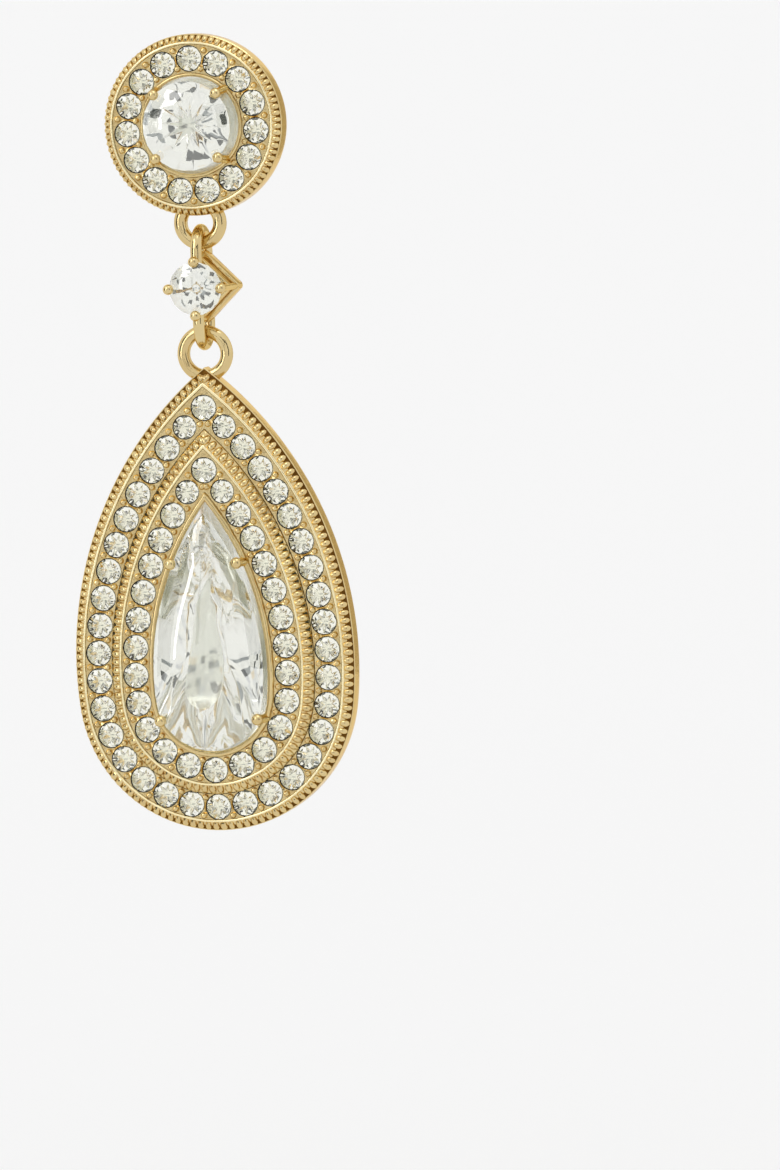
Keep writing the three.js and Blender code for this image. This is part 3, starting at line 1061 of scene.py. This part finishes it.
@dataclass
class Stud:
    """The round stud: casting, ring of small stones, centre stone and fixed ring."""

    finishes: Finishes
    radius: float = 5.06
    edge_round: float = 0.66
    wall: float = 1.75
    slope_width: float = 0.4
    slope_rise: float = 0.6
    beads: int = 84
    ridge: float = 0.15
    ridge_foot: float = 0.1
    channel_width: float = 1.6
    channel_depth: float = 0.85
    channel_edge: float = 0.12
    collar: float = 0.2
    collar_proud: float = 0.06
    collar_depth: float = 0.2
    foil_depth: float = 0.45
    back_middle: float = 0.5
    pit_middle: float = 0.8
    pave_stones: int = 15
    pave_sunk: float = 0.1
    stone_radius: float = 2.5
    cut: BrilliantCut = BrilliantCut(12, pavilion_rows=((0.62, 0.42), (0.22, 0.8)))
    stone_lift: float = 1.0
    stone_turn: float = 9.0
    stone_lean: float = 2.0
    pit_floor: float = 0.95
    ring_radius: float = 1.12
    ring_wire: float = 0.38
    ring_depth: float = 1.0
    ring_drop: float = 0.44
    notch_size: float = 0.35
    notch_low: float = 0.65
    prong_wire: float = 0.22
    prong_taper: float = 1.1
    prong_ball: float = 0.3
    prong_clear: float = 0.02
    prong_sunk: float = 0.4
    gap: float = 0.015
    sides: int = 168

    def outline(self, inset: float) -> Outline:
        """Give the stud's outline at an inset."""
        return RoundOutline(self.radius - inset)

    @property
    def front(self) -> float:
        """Height of the ridge above the back plane."""
        return self.wall + self.slope_rise

    @property
    def channel(self) -> tuple[float, float]:
        """Insets of the outer and the inner side of the stones' channel."""
        outer = self.slope_width + self.ridge
        return outer, outer + self.channel_width

    def profile(self) -> list[Step]:
        """Give the casting's profile, from the back's middle to the pit's middle."""
        outer, inner = self.channel
        ridge_middle = self.slope_width + self.ridge / 2
        lip_middle = inner + self.collar / 2
        hole = inner + self.collar
        floor = self.front - self.channel_depth
        half = self.ridge / 2
        crest = Step(ridge_middle, self.front - half)
        lip = Step(lip_middle, self.front - self.collar / 2 + self.collar_proud)
        return [
            Step(self.radius - self.back_middle, 0.0),
            *arc_steps(Step(self.edge_round, self.edge_round), self.edge_round, -90, -180, 8),
            *milgrain_slope(self.wall, self.slope_width, self.slope_rise, self.ridge_foot),
            # the ridge's crest is painted highlight
            *arc_steps(crest, half, 180, 0, 6, Face.BRIGHT),
            Step(outer, self.front - self.pave_sunk - self.channel_edge),
            # the channel's walls and floor are painted shade
            Step(outer, floor, Face.RECESS),
            Step(inner, floor, Face.RECESS),
            Step(inner, self.front - self.pave_sunk, Face.RECESS),
            *arc_steps(lip, self.collar / 2, 180, 0, 6),
            Step(hole, self.front - self.collar_depth),
            Step(hole, self.front - self.foil_depth, Face.FOIL),
            Step(self.radius - self.pit_middle, self.pit_floor, Face.FOIL),
        ]

    def build(self) -> None:
        """Build the casting, the ring of stones and the centre stone."""
        place = front_view(Vector((0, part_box("stud_frame")[1][1], 0)))
        stone = self.finishes.stone
        finishes = self.finishes.casting
        casting = Piece("stud_casting", "stud_frame", Body.STUD, Slot.GOLD, place, finishes)
        skin(casting.mesh, self.outline, self.profile(), self.sides)
        self.file_notch(casting.mesh)
        row = BeadRow(self.beads, 0.0, self.slope_width, self.wall, self.slope_rise)
        row.add(casting.mesh, self.outline)
        centre = Vector((0, -self.radius - self.ring_drop, self.ring_depth))
        wire_ring(casting.mesh, centre, self.ring_radius, self.ring_wire)
        self.add_prongs(casting.mesh)
        casting.close()
        finishes = self.finishes.row
        pave = Piece(
            "stud_pave_ring", "stud_pave", Body.STUD, Slot.PAVE, place, finishes, (Face.STONE,)
        )
        outer, inner = self.channel
        floor = self.front - self.channel_depth + self.gap
        plane = self.front - self.pave_sunk
        PaveRow(
            self.pave_stones, outer + self.gap, inner - self.gap, floor, plane
        ).add(pave.mesh, self.outline)
        pave.close()
        centre_stone = Piece(
            "stud_brilliant", "stud_stone", Body.STUD, Slot.STONE, place, (stone,), (0,)
        )
        middle = Vector((0, 0, self.front + self.stone_lift))
        girdle = set_level(middle, self.stone_turn, self.stone_lean)
        cut = self.cut.shape(RoundOutline(self.stone_radius), self.stone_radius)
        set_in(centre_stone.mesh, cut, girdle)
        centre_stone.close()

    def file_notch(self, mesh: bmesh.types.BMesh) -> None:
        """Press the small V notch into the back edge at the right.

        Args:
            mesh: The casting's mesh, before anything else is on it.
        """
        for corner in (corner for corner in mesh.verts if corner.co.x > self.radius - 1):
            depth = self.notch_size - abs(corner.co.y + self.notch_low)
            push = depth - corner.co.z
            if push > 0:
                corner.co -= Vector((corner.co.x, corner.co.y, 0)).normalized() * push

    def add_prongs(self, mesh: bmesh.types.BMesh) -> None:
        """Add the four ball-tipped prongs that hold the centre stone.

        Args:
            mesh: The casting's mesh, with the rest of it.
        """
        root_radius = self.radius - self.channel[1] - self.collar / 2
        tip_radius = self.stone_radius + self.prong_clear
        tip_height = self.front + self.stone_lift + self.prong_ball
        for corner in range(4):
            angle = math.pi / 4 + corner * math.pi / 2
            way = Vector((math.cos(angle), math.sin(angle), 0))
            root = way * root_radius + Vector((0, 0, self.front - self.prong_sunk))
            tip = way * tip_radius + Vector((0, 0, tip_height))
            rod(mesh, root, tip, self.prong_wire * self.prong_taper, self.prong_wire)
            ball(mesh, tip, self.prong_ball)


@dataclass
class EarPost:
    """The straight post that goes through the ear, with a groove near its tip."""

    finishes: Finishes
    radius: float = 0.4
    length: float = 12.0
    seat: float = 0.6
    groove_start: float = 9.7
    groove_length: float = 1.0
    groove_radius: float = 0.3
    groove_flank: float = 0.15
    tip_radius: float = 0.34
    tip_round: float = 0.17
    sides: int = 32

    def build(self) -> None:
        """Build the post by turning its profile."""
        place = front_view(Vector((0, 0, 0)))
        steel = self.finishes.steel
        post = Piece("post", "ear_post", Body.STUD, Slot.POST, place, (steel,))
        groove_end = self.groove_start + self.groove_length
        profile = (
            (0.0, -self.seat),
            (self.radius, -self.seat),
            (self.radius, self.groove_start),
            (self.groove_radius, self.groove_start + self.groove_flank),
            (self.groove_radius, groove_end - self.groove_flank),
            (self.tip_radius, groove_end),
            (self.tip_radius, self.length - self.tip_round),
            (self.tip_radius - self.tip_round * 0.3, self.length - self.tip_round * 0.3),
            (self.tip_radius - self.tip_round, self.length),
            (0.0, self.length),
        )
        corners = [
            bmesh.ops.create_vert(post.mesh, co=(radius, 0, -along))["vert"][0]
            for radius, along in profile
        ]
        edges = [
            bmesh.ops.contextual_create(post.mesh, geom=[a, b])["edges"][0]
            for a, b in zip(corners, corners[1:])
        ]
        bmesh.ops.spin(
            post.mesh, geom=corners + edges, cent=(0, 0, 0), axis=(0, 0, 1),
            angle=FULL_TURN, steps=self.sides, use_merge=True,
        )
        bmesh.ops.remove_doubles(post.mesh, verts=post.mesh.verts, dist=0.001)
        post.close()


@dataclass
class Link:
    """The link: a round stone in a square wire basket, with a loop above and below."""

    finishes: Finishes
    stone_radius: float = 1.5
    cut: BrilliantCut = BrilliantCut()
    stone_forward: float = 1.74
    stone_turn: float = 14.0
    stone_lean: float = 2.5
    basket_depth: float = 2.8
    corner: float = 1.85
    rail: float = 0.22
    rail_depth: float = 1.1
    light_rail: float = 0.17
    light_rail_depth: float = 0.7
    light_rail_place: float = 0.6
    prong: float = 0.2
    prong_taper: float = 0.95
    prong_proud: float = 0.2
    prong_splay: float = 1.02
    prong_ball: float = 0.3
    height: float = 7.08
    bend: float = 1.25
    wire: float = 0.32
    loop_root: float = 1.25

    def build(self) -> None:
        """Build the basket with its loops, and the stone."""
        low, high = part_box("link_frame")
        pivot_y = joint_place("link_swing").y
        place = front_view(Vector((0, pivot_y, (low[2] + high[2]) / 2)))
        gold, stone = self.finishes.gold, self.finishes.stone
        basket = Piece("link_basket", "link_frame", Body.LINK, Slot.GOLD, place, (gold,))
        self.add_square(basket.mesh)
        self.add_prongs(basket.mesh)
        for way in (1, -1):
            self.add_loop(basket.mesh, way)
        basket.close()
        brilliant = Piece(
            "link_brilliant", "link_stone", Body.LINK, Slot.STONE, place, (stone,), (0,)
        )
        middle = Vector((0, 0, self.stone_forward))
        girdle = set_level(middle, self.stone_turn, self.stone_lean)
        cut = self.cut.shape(RoundOutline(self.stone_radius), self.stone_radius)
        set_in(brilliant.mesh, cut, girdle)
        brilliant.close()

    def corner_at(self, index: int, height: float) -> Vector:
        """Give a corner of the basket, which widens towards its back.

        Args:
            index: Which corner, from 3 o'clock.
            height: How far in front of the loops' middle.

        Returns:
            The corner's place.
        """
        share = (self.stone_forward - height) / self.basket_depth
        radius = self.stone_radius + (self.corner - self.stone_radius) * share
        angle = index * math.pi / 2
        return Vector((radius * math.cos(angle), radius * math.sin(angle), height))

    def add_square(self, mesh: bmesh.types.BMesh) -> None:
        """Add the square frame at the basket's back and the lighter rail before it.

        Args:
            mesh: The basket's mesh.
        """
        back = self.stone_forward - self.basket_depth
        rails = (
            (back + self.rail_depth / 2 - self.rail, self.rail, self.rail_depth),
            (
                back + self.basket_depth * self.light_rail_place, self.light_rail,
                self.light_rail_depth,
            ),
        )
        for height, radius, depth in rails:
            corners = [self.corner_at(index, height) for index in range(4)]
            for start, end in zip(corners, corners[1:] + corners[:1]):
                bar(mesh, start, end, 2 * radius, depth)

    def add_prongs(self, mesh: bmesh.types.BMesh) -> None:
        """Add the four prongs with their ball tips.

        Args:
            mesh: The basket's mesh.
        """
        back = self.stone_forward - self.basket_depth
        for index in range(4):
            root = self.corner_at(index, back)
            tip = self.corner_at(index, self.stone_forward + self.prong_proud) * self.prong_splay
            rod(mesh, root, tip, self.prong, self.prong * self.prong_taper)
            ball(mesh, tip, self.prong_ball)

    def add_loop(self, mesh: bmesh.types.BMesh, way: int) -> None:
        """Add one U-shaped loop.

        Args:
            mesh: The basket's mesh.
            way: 1 for the upper loop and -1 for the lower.
        """
        bend_y = self.height / 2 - self.wire - self.bend
        stand = Matrix.Rotation(math.pi / 2, 4, "X")
        start = Matrix.Translation((0, way * self.loop_root, self.bend))
        made = bmesh.ops.create_circle(
            mesh, cap_ends=True, segments=16, radius=self.wire, matrix=start @ stand
        )
        face = list({face for corner in made["verts"] for face in corner.link_faces})
        run = Vector((0, way * (bend_y - self.loop_root), 0))
        straight = bmesh.ops.extrude_face_region(mesh, geom=face)["geom"]
        corners = [item for item in straight if isinstance(item, bmesh.types.BMVert)]
        bmesh.ops.translate(mesh, vec=run, verts=corners)
        face = [item for item in straight if isinstance(item, bmesh.types.BMFace)]
        turned = bmesh.ops.spin(
            mesh, geom=face, cent=(0, way * bend_y, 0), axis=(1, 0, 0),
            angle=-way * math.pi, steps=20,
        )["geom_last"]
        face = [item for item in turned if isinstance(item, bmesh.types.BMFace)]
        ending = bmesh.ops.extrude_face_region(mesh, geom=face)["geom"]
        corners = [item for item in ending if isinstance(item, bmesh.types.BMVert)]
        bmesh.ops.translate(mesh, vec=-run, verts=corners)


@dataclass
class Drop:
    """The teardrop: casting of two tiers, two rows of small stones and the pear stone."""

    finishes: Finishes
    half_width: float = 8.02
    height: float = 25.95
    widest: float = 16.5
    tip_inset: float = 1.55
    foot_inset: float = 0.95
    widest_inset: float = 0.1
    edge_round: float = 0.45
    wall: float = 1.45
    slope_width: float = 0.52
    slope_rise: float = 0.6
    ridge: float = 0.15
    ridge_foot: float = 0.12
    beads: int = 144
    outer_channel: float = 1.53
    channel_depth: float = 0.8
    step_width: float = 0.53
    step_rise: float = 0.46
    step_foot: tuple[float, float] = (0.04, -0.02)
    step_middle: tuple[float, float] = (0.3, 0.12)
    step_beads: int = 106
    step_bead_sunk: float = 0.03
    step_bead_reach: float = 0.53
    inner_channel: float = 1.57
    lip_width: float = 0.33
    lip_rise: float = 0.15
    lip_depth: float = 0.1
    foil_depth: float = 0.45
    outer_stones: int = 36
    inner_stones: int = 26
    tip_trim: float = 0.055
    pave_sunk: float = 0.1
    pear_lift: float = 0.45
    pear_margin: float = 0.1
    pear_tip_margin: float = 0.6
    pear_floor: float = 0.4
    pear_culet_rise: float = 1.2
    pear_cut: BrilliantCut = BrilliantCut(
        16, 0.24, 0.8, crown_rows=((0.5, 1.0), (0.7, 0.73), (0.87, 0.38)),
        pavilion_rows=((0.86, 0.22), (0.68, 0.46), (0.48, 0.68), (0.26, 0.87)),
        keel=((0.3, 0.86), (0.6, 0.6), (0.82, 0.34)),
    )
    pear_foot_inset: float = 7.0
    prongs_high: float = 10.8
    prongs_low: float = 19.6
    prong_ball: float = 0.33
    prong_wire: tuple[float, float] = (0.26, 0.22)
    prong_samples: int = 200
    prong_sunk: float = 0.4
    ring_radius: float = 1.235
    ring_wire: float = 0.355
    ring_rise: float = 0.75
    ring_depth: float = 1.04
    gap: float = 0.015
    sides: int = 240

    def outline(self, inset: float) -> Outline:
        """Give the outline of the tier at an inset, from the drop's tip at y 0."""
        return TeardropOutline(
            self.half_width - inset,
            -self.tip_inset * inset,
            -self.widest - self.widest_inset * inset,
            -self.height + self.foot_inset * inset,
        )

    @property
    def lower_front(self) -> float:
        """Height of the outer ridge above the back plane."""
        return self.wall + self.slope_rise

    @property
    def upper_front(self) -> float:
        """Height of the inner ridge above the back plane."""
        return self.lower_front + self.step_rise

    @property
    def outer_band(self) -> tuple[float, float]:
        """Insets of the two sides of the outer stones' channel."""
        start = self.slope_width + self.ridge
        return start, start + self.outer_channel

    @property
    def inner_band(self) -> tuple[float, float]:
        """Insets of the two sides of the inner stones' channel."""
        start = self.outer_band[1] + self.step_width + self.ridge
        return start, start + self.inner_channel

    @property
    def hole(self) -> float:
        """Inset of the hole inside the lip."""
        return self.inner_band[1] + self.lip_width

    def profile(self) -> list[Step]:
        """Give the casting's profile, from the back's middle to the pit's middle."""
        outer_start, outer_end = self.outer_band
        inner_start, inner_end = self.inner_band
        half = self.ridge / 2
        lip_half = self.lip_width / 2
        lip_front = self.upper_front + self.lip_rise
        lower_floor = self.lower_front - self.channel_depth
        upper_floor = self.upper_front - self.channel_depth
        first_crest = Step(self.slope_width + half, self.lower_front - half)
        second_crest = Step(inner_start - half, self.upper_front - half)
        lip = Step(inner_end + lip_half, lip_front - lip_half)
        return [
            Step(self.pear_foot_inset, 0.0),
            *arc_steps(Step(self.edge_round, self.edge_round), self.edge_round, -90, -180, 7),
            *milgrain_slope(self.wall, self.slope_width, self.slope_rise, self.ridge_foot),
            # the outer ridge's crest is painted highlight
            *arc_steps(first_crest, half, 180, 0, 6, Face.BRIGHT),
            # the outer channel's walls and floor are painted shade
            Step(outer_start, lower_floor, Face.RECESS),
            Step(outer_end, lower_floor, Face.RECESS),
            Step(outer_end, self.lower_front - self.pave_sunk, Face.RECESS),
            *(
                Step(outer_end + inset, self.lower_front + rise)
                for inset, rise in (self.step_foot, self.step_middle)
            ),
            Step(inner_start - self.ridge, self.upper_front - self.ridge_foot),
            # the inner ridge's crest is painted highlight, and its channel below is painted shade
            *arc_steps(second_crest, half, 180, 0, 6, Face.BRIGHT),
            Step(inner_start, upper_floor, Face.RECESS),
            Step(inner_end, upper_floor, Face.RECESS),
            *arc_steps(lip, lip_half, 180, 0, 8),
            Step(self.hole, self.upper_front - self.lip_depth),
            Step(self.hole, self.upper_front - self.foil_depth, Face.FOIL),
            Step(self.pear_foot_inset, self.pear_floor, Face.FOIL),
        ]

    def build(self) -> None:
        """Build the casting, the two rows of stones and the pear stone."""
        low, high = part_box("drop_frame")
        place = front_view(Vector((0, high[1], low[2] + self.height * MM)))
        self.build_casting(place)
        for name, node, stones, band, front in (
            ("drop_outer_row", "drop_outer_pave", self.outer_stones, self.outer_band,
             self.lower_front),
            ("drop_inner_row", "drop_inner_pave", self.inner_stones, self.inner_band,
             self.upper_front),
        ):
            finishes = self.finishes.row
            row = Piece(name, node, Body.DROP, Slot.PAVE, place, finishes, (Face.STONE,))
            floor = front - self.channel_depth + self.gap
            plane = front - self.pave_sunk
            outer, inner = band
            PaveRow(
                stones, outer + self.gap, inner - self.gap, floor, plane, tip_trim=self.tip_trim
            ).add(row.mesh, self.outline)
            row.close()
        self.build_pear(place)

    def build_casting(self, place: Matrix) -> None:
        """Build the casting with its milgrain, ring and prongs.

        Args:
            place: From the drop's front view to the frame.
        """
        finishes = self.finishes.casting
        casting = Piece("drop_casting", "drop_frame", Body.DROP, Slot.GOLD, place, finishes)
        skin(casting.mesh, self.outline, self.profile(), self.sides)
        BeadRow(self.beads, 0.0, self.slope_width, self.wall, self.slope_rise).add(
            casting.mesh, self.outline
        )
        step_base = self.lower_front - self.pave_sunk
        BeadRow(
            self.step_beads, self.outer_band[1], self.step_width, step_base,
            self.upper_front - self.step_bead_sunk - step_base, reach=self.step_bead_reach,
        ).add(casting.mesh, self.outline)
        centre = Vector((0, self.ring_rise, self.ring_depth))
        wire_ring(casting.mesh, centre, self.ring_radius, self.ring_wire)
        self.add_prongs(casting.mesh)
        casting.close()

    def add_prongs(self, mesh: bmesh.types.BMesh) -> None:
        """Add the four ball-tipped prongs that hold the pear stone.

        Args:
            mesh: The casting's mesh.
        """
        lip = self.outline(self.hole - self.lip_width / 2)
        lip_front = self.upper_front + self.lip_rise
        tip_height = lip_front + self.pear_lift + self.prong_ball
        count = self.prong_samples
        samples = [lip.point(index / (2 * count)) for index in range(count + 1)]
        for depth in (self.prongs_high, self.prongs_low):
            at = min(samples, key=lambda spot: abs(spot.y + depth))
            for side in (1, -1):
                root = Vector((side * at.x, at.y, lip_front - self.prong_sunk))
                lean = self.pear_margin + self.lip_width / 2
                tip = Vector((side * (at.x + lean), at.y, tip_height))
                rod(mesh, root, tip, *self.prong_wire)
                ball(mesh, tip, self.prong_ball)

    def build_pear(self, place: Matrix) -> None:
        """Build the pear-shaped stone.

        Args:
            place: From the drop's front view to the frame.
        """
        stone = self.finishes.stone
        pear = Piece("drop_pear", "drop_stone", Body.DROP, Slot.STONE, place, (stone,), (0,))
        half_width = self.half_width - self.hole - self.pear_margin
        widest = -self.widest - self.widest_inset * self.hole
        outline = TeardropOutline(
            half_width,
            -self.tip_inset * self.hole - self.pear_tip_margin,
            widest,
            -self.height + self.foot_inset * self.hole + self.pear_margin,
        )
        girdle = Matrix.Translation((0, 0, self.upper_front + self.lip_rise + self.pear_lift))
        middle = Vector((0, widest + self.pear_culet_rise, 0))
        set_in(pear.mesh, self.pear_cut.shape(outline, half_width, middle), girdle)
        pear.close()


def joint_place(name: str) -> Vector:
    """Give the place of a joint's axis in the frame.

    Args:
        name: The joint's name.

    Returns:
        The place in metres.
    """
    return Vector(next(joint["pos_m"] for joint in frame["joints"] if joint["name"] == name))


@dataclass
class Studio:
    """White surroundings, soft lights and the camera at the photograph's angle."""

    azimuth: float = 13.0
    elevation: float = 4.5
    roll: float = 2.1
    distance: float = 0.6
    frame_height: float = 0.0655
    axis_offset: float = 0.0096
    middle_z: float = -0.0262
    floor: float = -0.065
    floor_size: float = 12.0
    patch_seed: int = 4
    patch_rows: int = 16
    patch_distance: float = 0.45
    patch_tones: tuple[str, ...] = (
        "#FFFFFD", "#FFFFFD", "#FFFFFD", "#FFFFFD", "#FCFCFB", "#FCFCFB", "#F4F5F7", "#E6E8EC",
        "#DADDE2", "#8E9496", "#343A38", "#F6E8CE",
    )
    room_brightness: float = 0.97
    sheets: list[str] = field(default_factory=list)

    def build(self) -> None:
        """Build the floor, the cards, the lights and the camera."""
        self.add_floor()
        self.add_card("left_card", Vector((-0.3, -0.14, -0.02)), 0.15, 0.5)
        self.add_card("right_card", Vector((0.34, -0.3, -0.02)), 0.12, 0.5)
        self.add_card("low_card", Vector((0, -0.26, -0.2)), 0.5, 0.09)
        self.add_card("lens_card", Vector((0.05, -0.5, 0.03)), 0.08, 0.06)
        self.add_card("side_card", Vector((-0.12, -0.4, -0.03)), 0.03, 0.3)
        self.add_card("high_card", Vector((0.16, -0.36, 0.14)), 0.16, 0.06)
        self.add_card("back_card", Vector((0.08, 0.32, -0.02)), 0.1, 0.4, "#C9C3B4")
        self.add_patchwork()
        self.add_lights()
        self.add_camera()

    def add_sheet(self, name: str, width: float, depth: float, place: Matrix) -> bpy.types.Object:
        """Add a flat sheet that belongs to the studio.

        Args:
            name: The sheet's name.
            width: Its length along its own x in metres.
            depth: Its length along its own y in metres.
            place: Where it stands and how it is turned.

        Returns:
            The sheet.
        """
        mesh = bmesh.new()
        shape = Matrix.Diagonal((width, depth, 1, 1))
        bmesh.ops.create_grid(mesh, x_segments=1, y_segments=1, size=0.5, matrix=place @ shape)
        return self.add_stage_mesh(name, mesh)

    def add_stage_mesh(self, name: str, mesh: bmesh.types.BMesh) -> bpy.types.Object:
        """Make an object of the studio from a finished mesh.

        Args:
            name: The object's name.
            mesh: Its mesh, which is freed.

        Returns:
            The object.
        """
        sheet = bpy.data.objects.new(name, as_mesh(mesh, name))
        bpy.context.scene.collection.objects.link(sheet)
        self.sheets.append(sheet.name)
        return sheet

    def add_floor(self) -> None:
        """Add the pale floor, wide enough to fill the picture behind the jewel."""
        place = Matrix.Translation((0, 0, self.floor))
        floor = self.add_sheet("floor", self.floor_size, self.floor_size, place)
        floor.data.materials.append(PaintedBoard().build())

    def add_card(
        self, name: str, place: Vector, width: float, height: float, colour: str = "#363836"
    ) -> None:
        """Add a card that faces the jewel and is mirrored by its metal.

        Args:
            name: The card's name.
            place: The middle of the card in metres.
            width: Its width in metres.
            height: Its height in metres.
            colour: Its colour.
        """
        turn = (Vector((0, 0, self.middle_z)) - place).to_track_quat("Z", "Y")
        matrix = Matrix.Translation(place) @ turn.to_matrix().to_4x4()
        card = self.add_sheet(name, width, height, matrix)
        card.data.materials.append(PaintedBoard("matt_dark_card", colour).build())
        self.hide_sheet(card, through_stones=False)

    def hide_sheet(self, sheet: bpy.types.Object, through_stones: bool) -> None:
        """Show a sheet only in the stones' facets, or only in the polish of the metal.

        Args:
            sheet: The sheet.
            through_stones: Whether it is for the stones and not for the metal.
        """
        sheet.visible_camera = False
        sheet.visible_diffuse = False
        sheet.visible_shadow = False
        sheet.visible_glossy = not through_stones
        sheet.visible_transmission = through_stones

    def add_patchwork(self) -> None:
        """Hang a tent of small cards in several greys, so that each facet gets its own tone."""
        hand = random.Random(self.patch_seed)
        mesh = bmesh.new()
        bmesh.ops.create_uvsphere(
            mesh, u_segments=2 * self.patch_rows, v_segments=self.patch_rows,
            radius=self.patch_distance, matrix=Matrix.Translation((0, 0, self.middle_z)),
        )
        by_place = sorted(
            mesh.faces,
            key=lambda patch: tuple(round(share, 4) for share in patch.calc_center_median()),
        )
        for patch in by_place:
            patch.material_index = hand.randrange(len(self.patch_tones))
        bmesh.ops.reverse_faces(mesh, faces=mesh.faces)
        tent = self.add_stage_mesh("patchwork_tent", mesh)
        for tone in self.patch_tones:
            tent.data.materials.append(PaintedBoard("matt_grey_card", tone).build())
        self.hide_sheet(tent, through_stones=True)

    def add_lights(self) -> None:
        """Add the soft lights and the white surroundings."""
        world = bpy.data.worlds.new("white_room")
        world.use_nodes = True
        surround = world.node_tree.nodes["Background"]
        surround.inputs["Color"].default_value = linear("#FFFFFF")
        surround.inputs["Strength"].default_value = self.room_brightness
        bpy.context.scene.world = world
        jewel = bpy.data.collections.new("lit_by_lamps")
        for item in bpy.context.scene.objects:
            if item.type == "MESH" and item.name not in self.sheets:
                jewel.objects.link(item)
        self.add_light("key", Vector((-0.25, -0.3, 0.25)), (0.26, 0.26), 2.0, jewel)
        self.add_light("top", Vector((0.1, -0.05, 0.35)), (0.2, 0.2), 1.6, jewel)
        self.add_light("strip", Vector((-0.36, -0.42, -0.05)), (0.05, 0.4), 5.0, jewel)

    def add_light(
        self, name: str, place: Vector, size: tuple[float, float], brightness: float,
        jewel: bpy.types.Collection,
    ) -> None:
        """Add a soft light that faces the jewel and leaves the floor evenly white.

        Args:
            name: The light's name.
            place: Where it stands, in metres.
            size: Its width and its height in metres.
            brightness: How bright its face is, where 1 shows as white.
            jewel: The pieces that it lights.
        """
        data = bpy.data.lights.new(name, "AREA")
        data.shape = "RECTANGLE"
        data.size, data.size_y = size
        data.energy = brightness * math.pi * size[0] * size[1]
        light = bpy.data.objects.new(name, data)
        light.light_linking.receiver_collection = jewel
        light.location = place
        aim = Vector((0, 0, self.middle_z)) - place
        light.rotation_euler = aim.to_track_quat("-Z", "Y").to_euler()
        bpy.context.scene.collection.objects.link(light)

    def add_camera(self) -> None:
        """Add the camera, which takes in the photograph's whole frame."""
        data = bpy.data.cameras.new("camera")
        data.sensor_fit = "VERTICAL"
        data.sensor_height = 36.0
        data.lens = data.sensor_height * self.distance / self.frame_height
        data.clip_start = 0.01
        data.clip_end = 10.0
        camera = bpy.data.objects.new("camera", data)
        turn, lift = math.radians(self.azimuth), math.radians(self.elevation)
        back = Vector((
            math.sin(turn) * math.cos(lift), -math.cos(turn) * math.cos(lift), math.sin(lift)
        ))
        right = Vector((math.cos(turn), math.sin(turn), 0))
        target = Vector((0, 0, self.middle_z)) + right * self.axis_offset
        aim = (-back).to_track_quat("-Z", "Y").to_matrix().to_4x4()
        roll = Matrix.Rotation(math.radians(-self.roll), 4, "Z")
        camera.matrix_world = Matrix.Translation(target + back * self.distance) @ aim @ roll
        bpy.context.scene.collection.objects.link(camera)
        bpy.context.scene.camera = camera


def set_render() -> None:
    """Choose how light is carried through the stones and how the picture is toned."""
    scene = bpy.context.scene
    scene.cycles.max_bounces = 48
    scene.cycles.transmission_bounces = 40
    scene.cycles.glossy_bounces = 40
    scene.cycles.use_denoising = True
    scene.view_settings.view_transform = "Standard"


def main() -> None:
    """Build the earring and its surroundings."""
    logging.basicConfig(level=logging.INFO, format="%(name)s %(message)s")
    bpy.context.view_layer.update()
    finishes = Finishes.build()
    for assembly in (Stud(finishes), EarPost(finishes), Link(finishes), Drop(finishes)):
        log.info("building %s", type(assembly).__name__)
        assembly.build()
    Studio().build()
    set_render()


if __name__ == "__main__":
    main()
